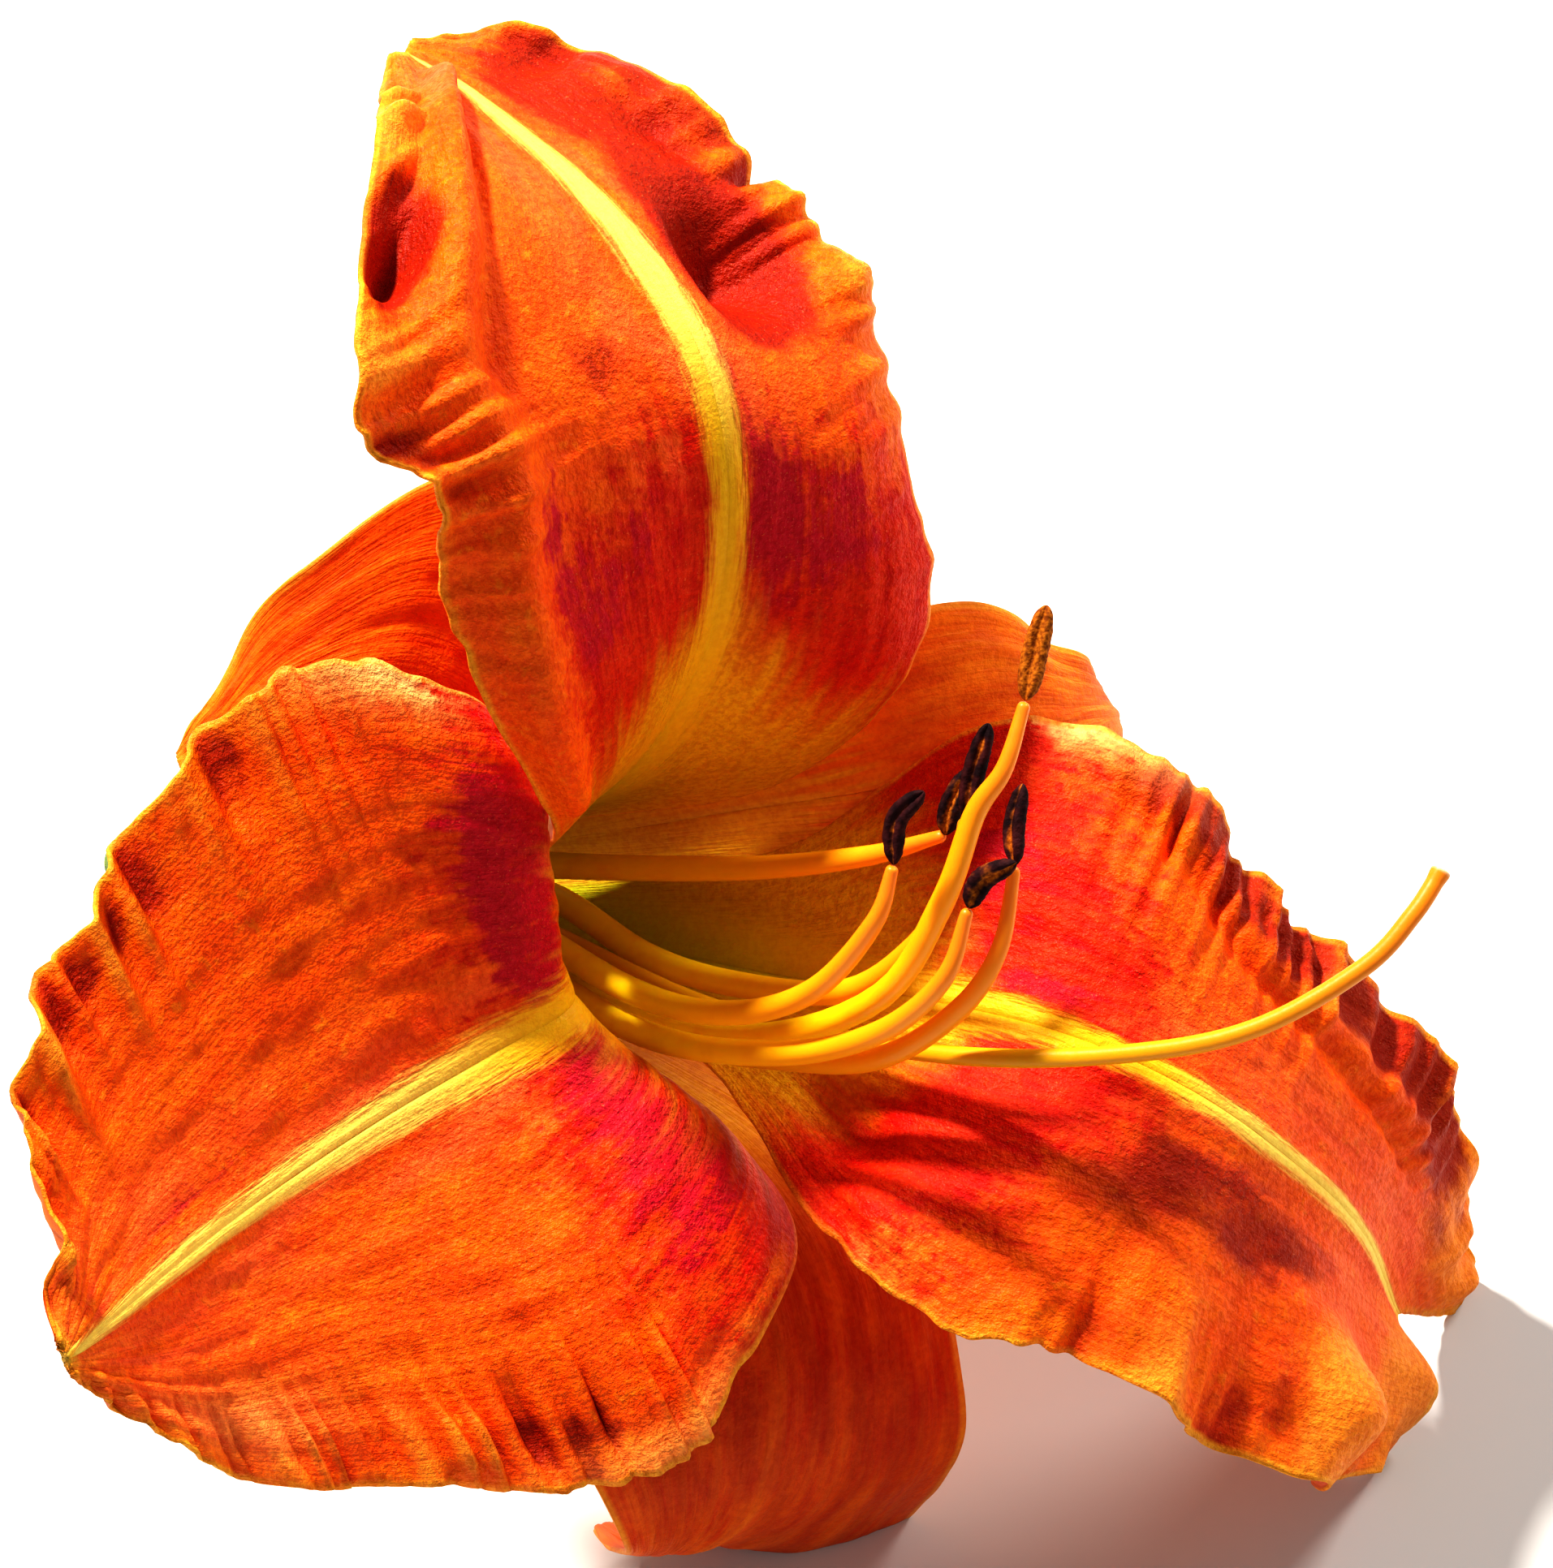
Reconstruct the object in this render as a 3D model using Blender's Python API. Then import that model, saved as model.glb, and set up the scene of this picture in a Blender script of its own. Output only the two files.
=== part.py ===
# Daylily bloom, picked with its tube and a short cut stub, lying on a table.
# Bloom frame: origin at the mouth of the tube, +Z out of the throat along the tube's axis.
# Azimuths turn counter-clockwise as seen from the front. Lengths are in millimetres, angles in degrees.
import bpy
import bmesh
import math
import numpy as np
from mathutils import Euler, Matrix, Vector

mm = 0.001

# Driving dimensions
bladeThickness = 0.7
seatGap = 0.3
petalClawRadius = 5.0
sepalClawRadius = 6.3
tubeLength = 27.0
tubeRimRadius = 6.9
ledgeDepth = 8.0
stubLength = 11.0
filamentRing = 3.0
filamentBaseRadius = 1.15
filamentTipRadius = 0.75
antherRadius = 0.95
styleRadius = 0.85
styleRoom = 0.6
ovaryRadius = 2.1
ovaryLength = 8.0
ovaryRoom = 0.4
stigmaFlare = 0.35

# How the bloom lies on the table
bloomTurn = (43.1, 32.1, 27.1)
bloomShift = (-31.3, 12.3, 25.54)

# A blade sags where it is near the table: what is lower than the depth comes to touch it, and
# the sag ends at the reach. It counts as laying flat above this cosine of its slope.
sagDepth = 2.2
sagReach = 8.0
layingFlat = 0.9
pressingRounds = 3

# Rows of points along a blade, and columns from its midrib to one margin
petalRows = 50
sepalRows = 30
columnStops = (0.0, 0.22, 0.44, 0.62, 0.78, 0.9, 1.0)

# Each blade: stations from claw to tip give the midrib's radius and height in the bloom frame.
# Each half has its width, then the lean of its section at the midrib, half way and at the margin
# (positive is cupped towards the throat), and "lean" is how far the margin runs ahead of the midrib.
# A wave is (waves per length, height, phase, where it starts, how closely it keeps to the margin).
# A fold is (place along, place across, length, breadth, height). A ridge follows a line of such
# places: (line, breadth, height).
blades = {
    "petal_upper": {
        "azimuth": 110,
        "midrib": [(petalClawRadius, seatGap), (6.5, 15), (11.5, 29), (22, 42), (33, 48.5), (43, 49.8),
                   (51, 46.5), (58, 40.5), (64.5, 32), (69.5, 25)],
        "ccw": {
            "width": [2.4, 5.3, 9.9, 21, 25.5, 26.5, 31.3, 23.5, 12.5, 2],
            "inner": [2, 2, 22, 12, -9, -10, 0, 15, 25, 25],
            "middle": [14, 21, 20, 0, -10, -8, -3, 8, 18, 20],
            "outer": [27, 40, 15, -25, -15, 10, 10, 5, 0, 0],
            "waves": [(7, 0.8, 0.15, 0.5, 3)],
            "folds": [(0.77, 0.84, 0.035, 0.13, -5.0), (0.69, 0.95, 0.035, 0.16, 2.0),
                      (0.62, 0.98, 0.025, 0.12, -1.6), (0.86, 0.85, 0.035, 0.16, 2.0)],
            "ridges": [([(0.24, 0.84), (0.41, 0.78), (0.55, 0.75), (0.65, 0.68), (0.79, 0.62), (0.88, 0.5),
                         (0.97, 0.2)], 0.11, 2.8)],
        },
        "cw": {
            "width": [2.4, 5.2, 15, 20, 18.6, 19.2, 18.5, 17.2, 12.8, 2],
            "inner": [2, 2, 30, 42, 38, 27, 17, 6, 2, 0],
            "middle": [14, 21, 30, 35, 13, 0, -1, 0, 5, 5],
            "outer": [27, 40, 20, -13, -30, -30, -20, -5, 5, 0],
            "lean": [0, 0, 0, 0, 0, 0, 0, 0, 15, 30],
            "waves": [(9, 0.7, 0.1, 0.42, 3)],
            "folds": [(0.655, 0.48, 0.065, 0.26, -7.0), (0.735, 0.97, 0.02, 0.14, -2.0),
                      (0.80, 0.7, 0.03, 0.16, -1.6), (0.89, 0.75, 0.025, 0.16, -1.8),
                      (0.6, 0.9, 0.05, 0.2, 1.5)],
            "ridges": [([(0.55, 0.26), (0.62, 0.15), (0.70, 0.22), (0.77, 0.31)], 0.05, 0.8)],
        },
    },
    "petal_left": {
        "azimuth": 212,
        "sway": [0, 0, 0, 0, -0.8, -1.6, -2, -2.2, -2.2],
        "midrib": [(petalClawRadius, seatGap), (7.5, 15), (12, 28), (14.8, 33.2), (22, 31.4), (32, 29),
                   (44, 27.5), (55, 27.7), (66, 29)],
        "ccw": {
            "width": [2.4, 5.4, 11.5, 27.5, 34.5, 33, 25.5, 17.5, 1.5],
            "lean": [0, 0, 0, 0, 0, 0, 0, 3, 6],
            "inner": [2, 2, 8, 26, 23, 15, 9, 3, 0],
            "middle": [14, 21, 20, 29, 30, 22, 15, 6, 0],
            "outer": [27, 40, 38, 1, 5, 5, 7, 3, 0],
            "waves": [(11, 0.8, 0.2, 0.42, 4)],
            "folds": [(0.64, 0.84, 0.03, 0.14, -1.6), (0.70, 0.88, 0.03, 0.14, 1.6)],
        },
        "cw": {
            "width": [2.4, 5.2, 10.8, 28.3, 34.8, 33.4, 26.8, 18.8, 1.5],
            "inner": [2, 2, 8, 15, 6, -1, -5, -7, -1],
            "middle": [14, 21, 18, 11, 1, -5, -9, -10, -1],
            "outer": [27, 40, 30, -16, -14, -11, -7, -5, -1],
            "lean": [0, 0, 0, 0, 0, 0, 2, 6, 0],
            "waves": [(11, 1.2, 0.0, 0.4, 3.5)],
        },
    },
    "petal_right": {
        "azimuth": -29,
        "midrib": [(petalClawRadius, seatGap), (8, 16), (12, 32.5), (14.8, 47.5), (19, 59), (27, 65),
                   (38, 66.5), (51, 64.5), (69, 56)],
        "ccw": {
            "width": [2.4, 5.6, 11, 23.5, 24.5, 20.8, 19, 16, 9],
            "inner": [2, 2, 20, 18, 10, -2, -5, 0, 5],
            "middle": [14, 21, 18, 15, 2, -12, -10, 0, 5],
            "outer": [27, 40, 15, -1, -20, -25, -18, 2, 8],
            "lean": [0, 0, 0, 0, 0, 4, 16, 38, 50],
            "waves": [(11, 1.0, 0.3, 0.4, 3.5)],
            "folds": [(0.96, 0.7, 0.06, 0.35, 2.2)],
        },
        "cw": {
            "width": [2.4, 4.4, 10, 20.5, 25.2, 23.3, 23.8, 20.5, 10.5],
            "inner": [2, 0, 0, 6, 8, 7, 7, 10, 5],
            "middle": [14, 18, 12, 6, -1, 2, 9, 12, 10],
            "outer": [27, 36, 25, 0, -14, -9, 3, 5, 5],
            "lean": [0, 0, 0, 0, 0, 0, 5, 14, 25],
            "waves": [(7, 2.0, 0.55, 0.5, 2.5)],
            "folds": [(0.36, 0.6, 0.05, 0.16, -2.2), (0.42, 0.8, 0.04, 0.12, 2.0),
                      (0.87, 0.7, 0.06, 0.22, 3.5), (1.0, 0.45, 0.05, 0.3, 4.0)],
        },
    },
    "sepal_upper_left": {
        "azimuth": 150,
        "sway": [0, 0, 0, 0, 0, 2, 5, 10, 15],
        "twist": [0, 0, 0, -6, -12, -16, -16, -12, -8],
        "midrib": [(sepalClawRadius, seatGap), (10, 12), (14.5, 21), (19, 26.5), (25, 29.5), (31, 28.5),
                   (35.5, 26), (38, 22), (39, 17)],
        "ccw": {
            "width": [2.6, 5, 8.5, 11, 12.5, 13, 11, 7, 1.5],
            "inner": [2, 2, 10, 5, 0, -5, -5, -5, 0],
            "middle": [12, 14, 10, 0, -5, -8, -8, -5, 0],
            "outer": [23, 28, 8, 0, -5, -8, -10, -8, 0],
            "waves": [(6, 0.6, 0.2, 0.5, 3)],
        },
        "cw": {
            "width": [2.6, 8, 14, 17, 19.3, 19.6, 10.6, 5, 1.5],
            "inner": [2, 2, 10, 5, 0, 0, 0, 0, 0],
            "middle": [12, 14, 10, 5, 5, 5, 5, 0, 0],
            "outer": [23, 28, 5, 0, 5, 5, 5, 0, 0],
            "waves": [(5, 0.6, 0.6, 0.5, 3)],
        },
    },
    "sepal_upper_right": {
        "azimuth": 33,
        "sway": [0, 0, 0, -2, -5, -9, -12, -15, -17],
        "midrib": [(sepalClawRadius, seatGap), (9.5, 15), (14, 28), (18.5, 38.5), (25, 44.5), (33, 46),
                   (41, 43), (46, 37), (49, 29)],
        "ccw": {
            "width": [2.6, 5, 9, 13.2, 13.2, 9, 5, 3.5, 1.5],
            "inner": [2, 2, 10, 5, 0, -5, -5, -5, 0],
            "middle": [12, 14, 10, 0, -5, -10, -10, -5, 0],
            "outer": [23, 28, 5, -10, -20, -25, -20, -10, 0],
            "waves": [(6, 0.6, 0.1, 0.5, 3)],
        },
        "cw": {
            "width": [2.6, 6.2, 9.5, 13, 17, 18, 16, 10, 1.5],
            "inner": [2, 2, 10, 5, 0, 0, 0, 0, 0],
            "middle": [12, 14, 10, 0, -5, -5, -5, 0, 0],
            "outer": [23, 28, 5, -5, -10, -10, -10, 0, 0],
            "waves": [(5, 0.6, 0.4, 0.5, 3)],
        },
    },
    "sepal_bottom": {
        "azimuth": 277,
        "midrib": [(sepalClawRadius, seatGap), (10.5, 13), (16, 25), (22, 33.5), (30, 38.5), (39, 40),
                   (47, 37), (52, 29.5), (51, 20)],
        "ccw": {
            "width": [2.6, 5, 9, 14, 18, 19, 21.5, 20, 2],
            "inner": [2, 2, 10, 10, 10, 8, 5, 0, 0],
            "middle": [12, 14, 10, 8, 8, 6, 4, 0, 0],
            "outer": [23, 28, 5, -5, -5, 0, 0, 0, 0],
            "lean": [0, 0, 0, 0, 0, 4, 12, 20, 0],
            "waves": [(5, 0.6, 0.1, 0.5, 3)],
        },
        "cw": {
            "width": [2.6, 5, 9, 14, 18, 20, 17.5, 8.5, 2],
            "inner": [2, 2, 5, -5, -10, -12, -8, -4, 0],
            "middle": [12, 14, 0, -12, -18, -18, -12, -5, 0],
            "outer": [23, 28, -5, -15, -20, -20, -12, -5, 0],
            "lean": [0, 0, 0, 0, 0, -6, -12, -10, 0],
            "waves": [(6, 0.6, 0.5, 0.5, 3)],
        },
    },
}

# Free routes of the six filaments, from the narrow of the throat outwards
filamentRoutes = {
    1: [(0.3, 2.4, 14), (2, 3, 36.5), (3, 4.5, 50), (3.5, 6.5, 58.5)],
    2: [(-3.1, -1.2, 14), (-3.4, -6.8, 31), (-4.8, -7.8, 43.5), (-6, -5.5, 54), (-7, 0, 61.5),
        (-7, 4.5, 63.5)],
    3: [(0, -5.8, 14), (-0.5, -9.5, 33), (-0.5, -9.5, 45), (-1, -5.5, 57), (-1.5, 2, 63.5),
        (-1.5, 8.5, 66.5), (-1, 12, 69), (0, 17, 70)],
    4: [(-2.7, -4.4, 14), (-3.3, -10.1, 32.5), (-3.5, -10.7, 47.5), (-4, -8.5, 59), (-4.5, -4, 66.5),
        (-4.5, 1.5, 69)],
    5: [(2.8, -3.8, 14), (2.9, -6.7, 23), (2.5, -10.8, 32), (2, -11.5, 41.5), (2.5, -11, 52.5),
        (3, -7, 60.5), (3, -2, 65), (3, 4.5, 66.5)],
    6: [(3.2, -0.2, 14), (3.3, -4.5, 25.5), (4.1, -6.2, 35), (3, -6, 48.5), (1.5, -2, 57.5), (1, 3, 62),
        (1, 8, 63)],
}
filamentAzimuths = {1: 90, 2: 150, 3: 270, 4: 210, 5: 330, 6: 30}

# Run of each anther from its filament's tip: middle and far end, relative to the tip
antherRuns = {
    1: [(0, 2.4, 0.6), (0.5, 5.2, 2.0)],
    2: [(-0.4, 3.4, 0.6), (0, 5.6, 3.0)],
    3: [(0.5, 3.6, 0.4), (0.6, 7.2, 1.4)],
    4: [(0, 2.2, 1.4), (0.2, 3.6, 4.6)],
    5: [(0.1, 3.0, -0.3), (0.4, 6.2, 0.2)],
    6: [(0, 3.6, 0.9), (0.1, 7.2, 2.2)],
}

# Thickness along an anther, as shares of its radius
antherShape = (0.35, 0.85, 1.0, 0.95, 0.75, 0.3)

# The pistil's free route after it leaves the tube's mouth
pistilRoute = [(0.3, -2.2, 14), (1.5, -7.5, 32.5), (4.3, -9.6, 44), (6.5, -10.5, 59.5), (11, -9.5, 72),
               (15, -7.2, 80.5), (19.6, -2.4, 87), (22.3, 1.7, 89.5), (24.4, 5.2, 90.5)]

colours = {
    "petal": (0.86, 0.19, 0.02, 1.0),
    "sepal": (0.74, 0.16, 0.02, 1.0),
    "tube": (0.55, 0.42, 0.08, 1.0),
    "stub": (0.25, 0.36, 0.08, 1.0),
    "filament": (0.90, 0.50, 0.02, 1.0),
    "anther": (0.06, 0.02, 0.02, 1.0),
    "pistil": (0.88, 0.48, 0.03, 1.0),
}


def clearScene():
    for thing in list(bpy.data.objects):
        bpy.data.objects.remove(thing)


def smoothThrough(values, places):
    """Smooth curve through evenly spaced values, read at places between 0 and 1."""
    knots = np.asarray(values, float)
    last = len(knots) - 1
    position = np.clip(np.asarray(places, float), 0, 1) * last
    index = np.minimum(position.astype(int), last - 1)
    part = position - index
    if knots.ndim > 1:
        part = part[:, None]
    padded = np.concatenate([[2 * knots[0] - knots[1]], knots, [2 * knots[-1] - knots[-2]]])
    before, start, end, after = (padded[index + step] for step in range(4))
    linear = end - before
    square = 2 * before - 5 * start + 4 * end - after
    cube = 3 * start - before - 3 * end + after
    return 0.5 * (2 * start + linear * part + square * part ** 2 + cube * part ** 3)


def midribPoints(blade, along):
    radius, height = smoothThrough(blade["midrib"], along).T
    sway = smoothThrough(blade.get("sway", [0, 0]), along)
    azimuth = np.radians(blade["azimuth"] + sway)
    return np.stack([radius * np.cos(azimuth), radius * np.sin(azimuth), height], 1), azimuth


def unit(vectors):
    return vectors / np.linalg.norm(vectors, axis=1)[:, None]


def midribFrame(blade, along):
    """Points of the midrib with the directions along it, across it and off its inner face."""
    step = 0.001
    points, azimuth = midribPoints(blade, along)
    ahead = midribPoints(blade, np.clip(along + step, 0, 1))[0]
    behind = midribPoints(blade, np.clip(along - step, 0, 1))[0]
    forward = unit(ahead - behind)
    across = np.stack([-np.sin(azimuth), np.cos(azimuth), 0 * azimuth], 1)
    across = unit(across - forward * (across * forward).sum(1)[:, None])
    inward = np.cross(forward, across)
    twist = np.radians(smoothThrough(blade.get("twist", [0, 0]), along))[:, None]
    turnedAcross = across * np.cos(twist) + inward * np.sin(twist)
    turnedInward = inward * np.cos(twist) - across * np.sin(twist)
    return points, forward, turnedAcross, turnedInward


def ruffle(half, along, across):
    """Height of waves, folds and ridges over the smooth half blade."""
    height = np.zeros((len(along), len(across)))
    s = along[:, None]
    t = across[None, :]
    for count, size, phase, start, hold in half.get("waves", []):
        rise = np.clip((s - start) / 0.2, 0, 1)
        fade = rise * rise * (3 - 2 * rise) * np.sqrt(np.clip((1 - s) / 0.06, 0, 1))
        height += size * fade * t ** hold * np.sin(2 * math.pi * (count * s + phase - 0.12 * t))
    for place, offset, length, breadth, size in half.get("folds", []):
        bump = np.exp(-((s - place) / length) ** 2 - ((t - offset) / breadth) ** 2)
        height += size * bump * (1 - np.exp(-(t / 0.15) ** 2))
    for line, breadth, size in half.get("ridges", []):
        places, offsets = np.array(line).T
        middle = np.interp(along, places, offsets)[:, None]
        inside = np.clip(np.minimum(s - places[0], places[-1] - s) / 0.06, 0, 1)
        ends = inside * inside * (3 - 2 * inside)
        height += size * ends * np.exp(-((t - middle) / breadth) ** 2) * (1 - np.exp(-(t / 0.15) ** 2))
    return height


def halfBlade(blade, side, along, across):
    """Points of one half blade, one row for each place along it."""
    points, forward, sideways, inward = midribFrame(blade, along)
    half = blade[side]
    hand = 1 if side == "ccw" else -1
    width = smoothThrough(half["width"], along)[:, None]
    leans = np.stack([smoothThrough(half[key], along) for key in ("inner", "middle", "outer")])
    fine = np.linspace(0, 1, 25)
    slope = np.radians(smoothThrough(leans, fine)).T
    pieces = []
    for wave in (np.cos(slope), np.sin(slope)):
        steps = (wave[:, 1:] + wave[:, :-1]) / 2 / (len(fine) - 1)
        total = np.concatenate([np.zeros((len(along), 1)), np.cumsum(steps, 1)], 1)
        pieces.append(np.stack([np.interp(across, fine, row) for row in total]) * width)
    reach, lift = pieces
    local = np.stack([np.interp(across, fine, row) for row in slope])
    bump = ruffle(half, along, across)
    reach = reach - bump * np.sin(local)
    lift = lift + bump * np.cos(local)
    lead = width * np.tan(np.radians(smoothThrough(half.get("lean", [0, 0]), along)))[:, None]
    ahead = lead * np.sin(math.pi / 2 * across)[None, :]
    return (points[:, None] + hand * reach[:, :, None] * sideways[:, None]
            + lift[:, :, None] * inward[:, None] + ahead[:, :, None] * forward[:, None])


def bladePoints(blade, along, across):
    left = halfBlade(blade, "cw", along, across)
    right = halfBlade(blade, "ccw", along, across)
    return np.concatenate([left[:, ::-1], right[:, 1:]], 1)


def bloomMatrix():
    turn = Euler([math.radians(angle) for angle in bloomTurn], "XYZ").to_matrix().to_4x4()
    return Matrix.Translation(Vector(bloomShift) * mm) @ turn


def clearOfTable(world):
    """Heights that keep both faces of a blade above the table, given its middle surface."""
    facing = np.cross(np.gradient(world, axis=0), np.gradient(world, axis=1))
    level = np.abs(facing[..., 2]) / np.linalg.norm(facing, axis=2)
    level[level > layingFlat] = 1
    return bladeThickness / 2 * level


def pressedFlat(points, matrix):
    """Where a blade meets the table it sags flat on it, and nothing of it goes below."""
    turn = np.array(matrix.to_3x3())
    shift = np.array(matrix.translation) / mm
    world = points @ turn.T + shift
    lowest = clearOfTable(world)
    gap = world[..., 2] - lowest
    sagged = np.maximum(gap - sagDepth, 0) * sagReach / (sagReach - sagDepth)
    world[..., 2] = lowest + np.where(gap < sagReach, sagged, gap)
    for _ in range(pressingRounds):
        world[..., 2] = np.maximum(world[..., 2], clearOfTable(world))
    return (world - shift) @ turn


def makeMaterial(name, roughness):
    material = bpy.data.materials.new(name)
    material.use_nodes = True
    shader = material.node_tree.nodes["Principled BSDF"]
    shader.inputs["Base Color"].default_value = colours[name]
    shader.inputs["Roughness"].default_value = roughness
    shader.inputs["Metallic"].default_value = 0.0
    return material


def addObject(name, data, material, parent):
    data.materials.append(material)
    thing = bpy.data.objects.new(name, data)
    bpy.context.scene.collection.objects.link(thing)
    thing.parent = parent
    return thing


def makeBlade(name, blade, rows, material, parent, matrix):
    along = np.linspace(0, 1, rows) ** 0.85
    points = bladePoints(blade, along, np.array(columnStops))
    points = pressedFlat(points, matrix) * mm
    columns = points.shape[1]
    grid = bmesh.new()
    bmesh.ops.create_grid(grid, x_segments=columns - 1, y_segments=rows - 1, size=0.5)
    for vertex in grid.verts:
        column = round((vertex.co.x + 0.5) * (columns - 1))
        row = round((vertex.co.y + 0.5) * (rows - 1))
        vertex.co = points[row, column]
    bmesh.ops.triangulate(grid, faces=grid.faces[:])
    mesh = bpy.data.meshes.new(name)
    grid.to_mesh(mesh)
    grid.free()
    mesh.shade_smooth()
    thing = addObject(name, mesh, material, parent)
    solid = thing.modifiers.new("thickness", "SOLIDIFY")
    solid.thickness = bladeThickness * mm
    solid.offset = 0
    return thing


def makeRod(name, route, radii, points, material, parent, sides=8):
    """A tapering rod through the points of a route."""
    places = np.linspace(0, 1, points)
    path = smoothThrough(route, places)
    thickness = smoothThrough(radii, places)
    curve = bpy.data.curves.new(name, "CURVE")
    curve.dimensions = "3D"
    curve.bevel_depth = mm
    curve.bevel_resolution = sides // 2 - 2
    curve.use_fill_caps = True
    spline = curve.splines.new("POLY")
    spline.points.add(points - 1)
    for point, place, radius in zip(spline.points, path, thickness):
        point.co = (*(place * mm), 1)
        point.radius = radius
    return addObject(name, curve, material, parent)


def makeTurned(name, profile, segments, material, parent):
    """A closed outline of radius and height turned round the bloom's axis."""
    turned = bmesh.new()
    verts = [turned.verts.new((radius * mm, 0, height * mm)) for radius, height in profile]
    edges = [turned.edges.new((verts[i - 1], verts[i])) for i in range(len(verts))]
    bmesh.ops.spin(turned, geom=verts + edges, axis=(0, 0, 1), cent=(0, 0, 0), angle=2 * math.pi,
                   steps=segments, use_merge=True)
    bmesh.ops.recalc_face_normals(turned, faces=turned.faces[:])
    mesh = bpy.data.meshes.new(name)
    turned.to_mesh(mesh)
    turned.free()
    mesh.shade_smooth()
    mesh.set_sharp_from_angle(angle=math.radians(40))
    return addObject(name, mesh, material, parent)


def makeTube(material, parent):
    """The tube is wide at its mouth, closes to the style's channel, and opens again round the ovary."""
    boreRadius = filamentRing + filamentBaseRadius + seatGap
    channelRadius = styleRadius + styleRoom
    cellRadius = ovaryRadius + ovaryRoom
    cellTop = -tubeLength + ovaryLength + 1.0
    outside = [(3.5, -tubeLength), (3.9, -22), (4.3, -16), (5.0, -9), (5.9, -4), (tubeRimRadius, 0)]
    inside = [(boreRadius, 0), (boreRadius, -ledgeDepth), (channelRadius, -ledgeDepth),
              (channelRadius, cellTop + 1.5), (cellRadius, cellTop), (cellRadius, -tubeLength)]
    return makeTurned("perianth_tube", outside + inside, 28, material, parent)


def makeStub(material, parent):
    top = -tubeLength - seatGap
    route = [(0, 0, top), (0, 0, top - 2.5), (0.3, 0.1, top - 6.5), (0.9, 0.3, top - stubLength)]
    return makeRod("pedicel", route, [3.3, 2.9, 2.2, 2.1], 9, material, parent, sides=12)


def makeStamen(number, filamentMaterial, antherMaterial, parent):
    azimuth = math.radians(filamentAzimuths[number])
    foot = (filamentRing * math.cos(azimuth), filamentRing * math.sin(azimuth))
    start = [(*foot, -ledgeDepth + seatGap), (*foot, 0)]
    route = start + filamentRoutes[number]
    radii = [filamentBaseRadius, filamentBaseRadius, filamentTipRadius]
    makeRod(f"filament_{number}", route, radii, 22, filamentMaterial, parent)
    tip = np.array(route[-1])
    ending = unit((tip - np.array(route[-2]))[None])[0]
    antherFoot = tip + ending * (seatGap + antherShape[0] * antherRadius)
    run = [antherFoot + np.array(step) for step in antherRuns[number]]
    radii = [antherRadius * size for size in antherShape]
    makeRod(f"anther_{number}", [antherFoot] + run, radii, 9, antherMaterial, parent)


def makePistil(material, parent):
    """Ovary, style and stigma in one: swollen at the foot, slender, and flared at the very end."""
    base = -tubeLength
    route = [(0, 0, base), (0, 0, base / 2), (0, 0, 0)] + pistilRoute
    lengths = len(route) - 1
    points = 45
    places = np.linspace(0, 1, points)
    height = smoothThrough(route, places)[:, 2] - base
    ovary = np.clip((ovaryLength - height) / (ovaryLength / 2), 0, 1)
    swell = ovary * ovary * (3 - 2 * ovary)
    stigma = np.clip(4 * (places * lengths - lengths) + 1, 0, 1)
    radii = styleRadius + (ovaryRadius - styleRadius) * swell + stigmaFlare * stigma
    radii = np.where(height < ovaryLength / 8, radii * 0.8, radii)
    return makeRod("pistil", route, list(radii), points, material, parent)


def main():
    clearScene()
    matrix = bloomMatrix()
    bloom = bpy.data.objects.new("bloom", None)
    bpy.context.scene.collection.objects.link(bloom)
    bloom.rotation_euler = [math.radians(angle) for angle in bloomTurn]
    bloom.location = Vector(bloomShift) * mm
    petalMaterial = makeMaterial("petal", 0.45)
    sepalMaterial = makeMaterial("sepal", 0.5)
    for name, blade in blades.items():
        isPetal = name.startswith("petal")
        rows = petalRows if isPetal else sepalRows
        makeBlade(name, blade, rows, petalMaterial if isPetal else sepalMaterial, bloom, matrix)
    makeTube(makeMaterial("tube", 0.5), bloom)
    makeStub(makeMaterial("stub", 0.5), bloom)
    filamentMaterial = makeMaterial("filament", 0.35)
    antherMaterial = makeMaterial("anther", 0.8)
    for number in filamentRoutes:
        makeStamen(number, filamentMaterial, antherMaterial, bloom)
    makePistil(makeMaterial("pistil", 0.35), bloom)


main()
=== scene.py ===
# Daylily bloom, picked with its tube and a cut stub, lying on a pale surface.
# Bloom frame: origin at the mouth of the tube, +Z out of the throat. Lengths in mm, angles in degrees,
# and places along and across a blade as shares of its length and half width.
import math
import bpy
import bmesh
import numpy as np
from mathutils import Euler, Matrix, Vector


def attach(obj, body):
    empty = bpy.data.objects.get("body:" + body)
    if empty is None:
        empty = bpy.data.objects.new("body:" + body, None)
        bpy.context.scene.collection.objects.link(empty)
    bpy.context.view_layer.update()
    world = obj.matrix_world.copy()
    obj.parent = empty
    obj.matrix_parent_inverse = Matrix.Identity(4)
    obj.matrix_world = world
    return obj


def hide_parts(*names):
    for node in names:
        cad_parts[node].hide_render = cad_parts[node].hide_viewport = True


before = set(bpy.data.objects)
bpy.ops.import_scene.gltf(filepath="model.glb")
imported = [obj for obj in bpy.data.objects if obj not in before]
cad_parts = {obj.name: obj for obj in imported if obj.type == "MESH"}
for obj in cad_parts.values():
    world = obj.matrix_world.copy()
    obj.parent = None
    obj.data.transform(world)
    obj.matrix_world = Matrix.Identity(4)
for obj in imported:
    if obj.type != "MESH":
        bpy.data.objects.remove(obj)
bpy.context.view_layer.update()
mm = 0.001

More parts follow.
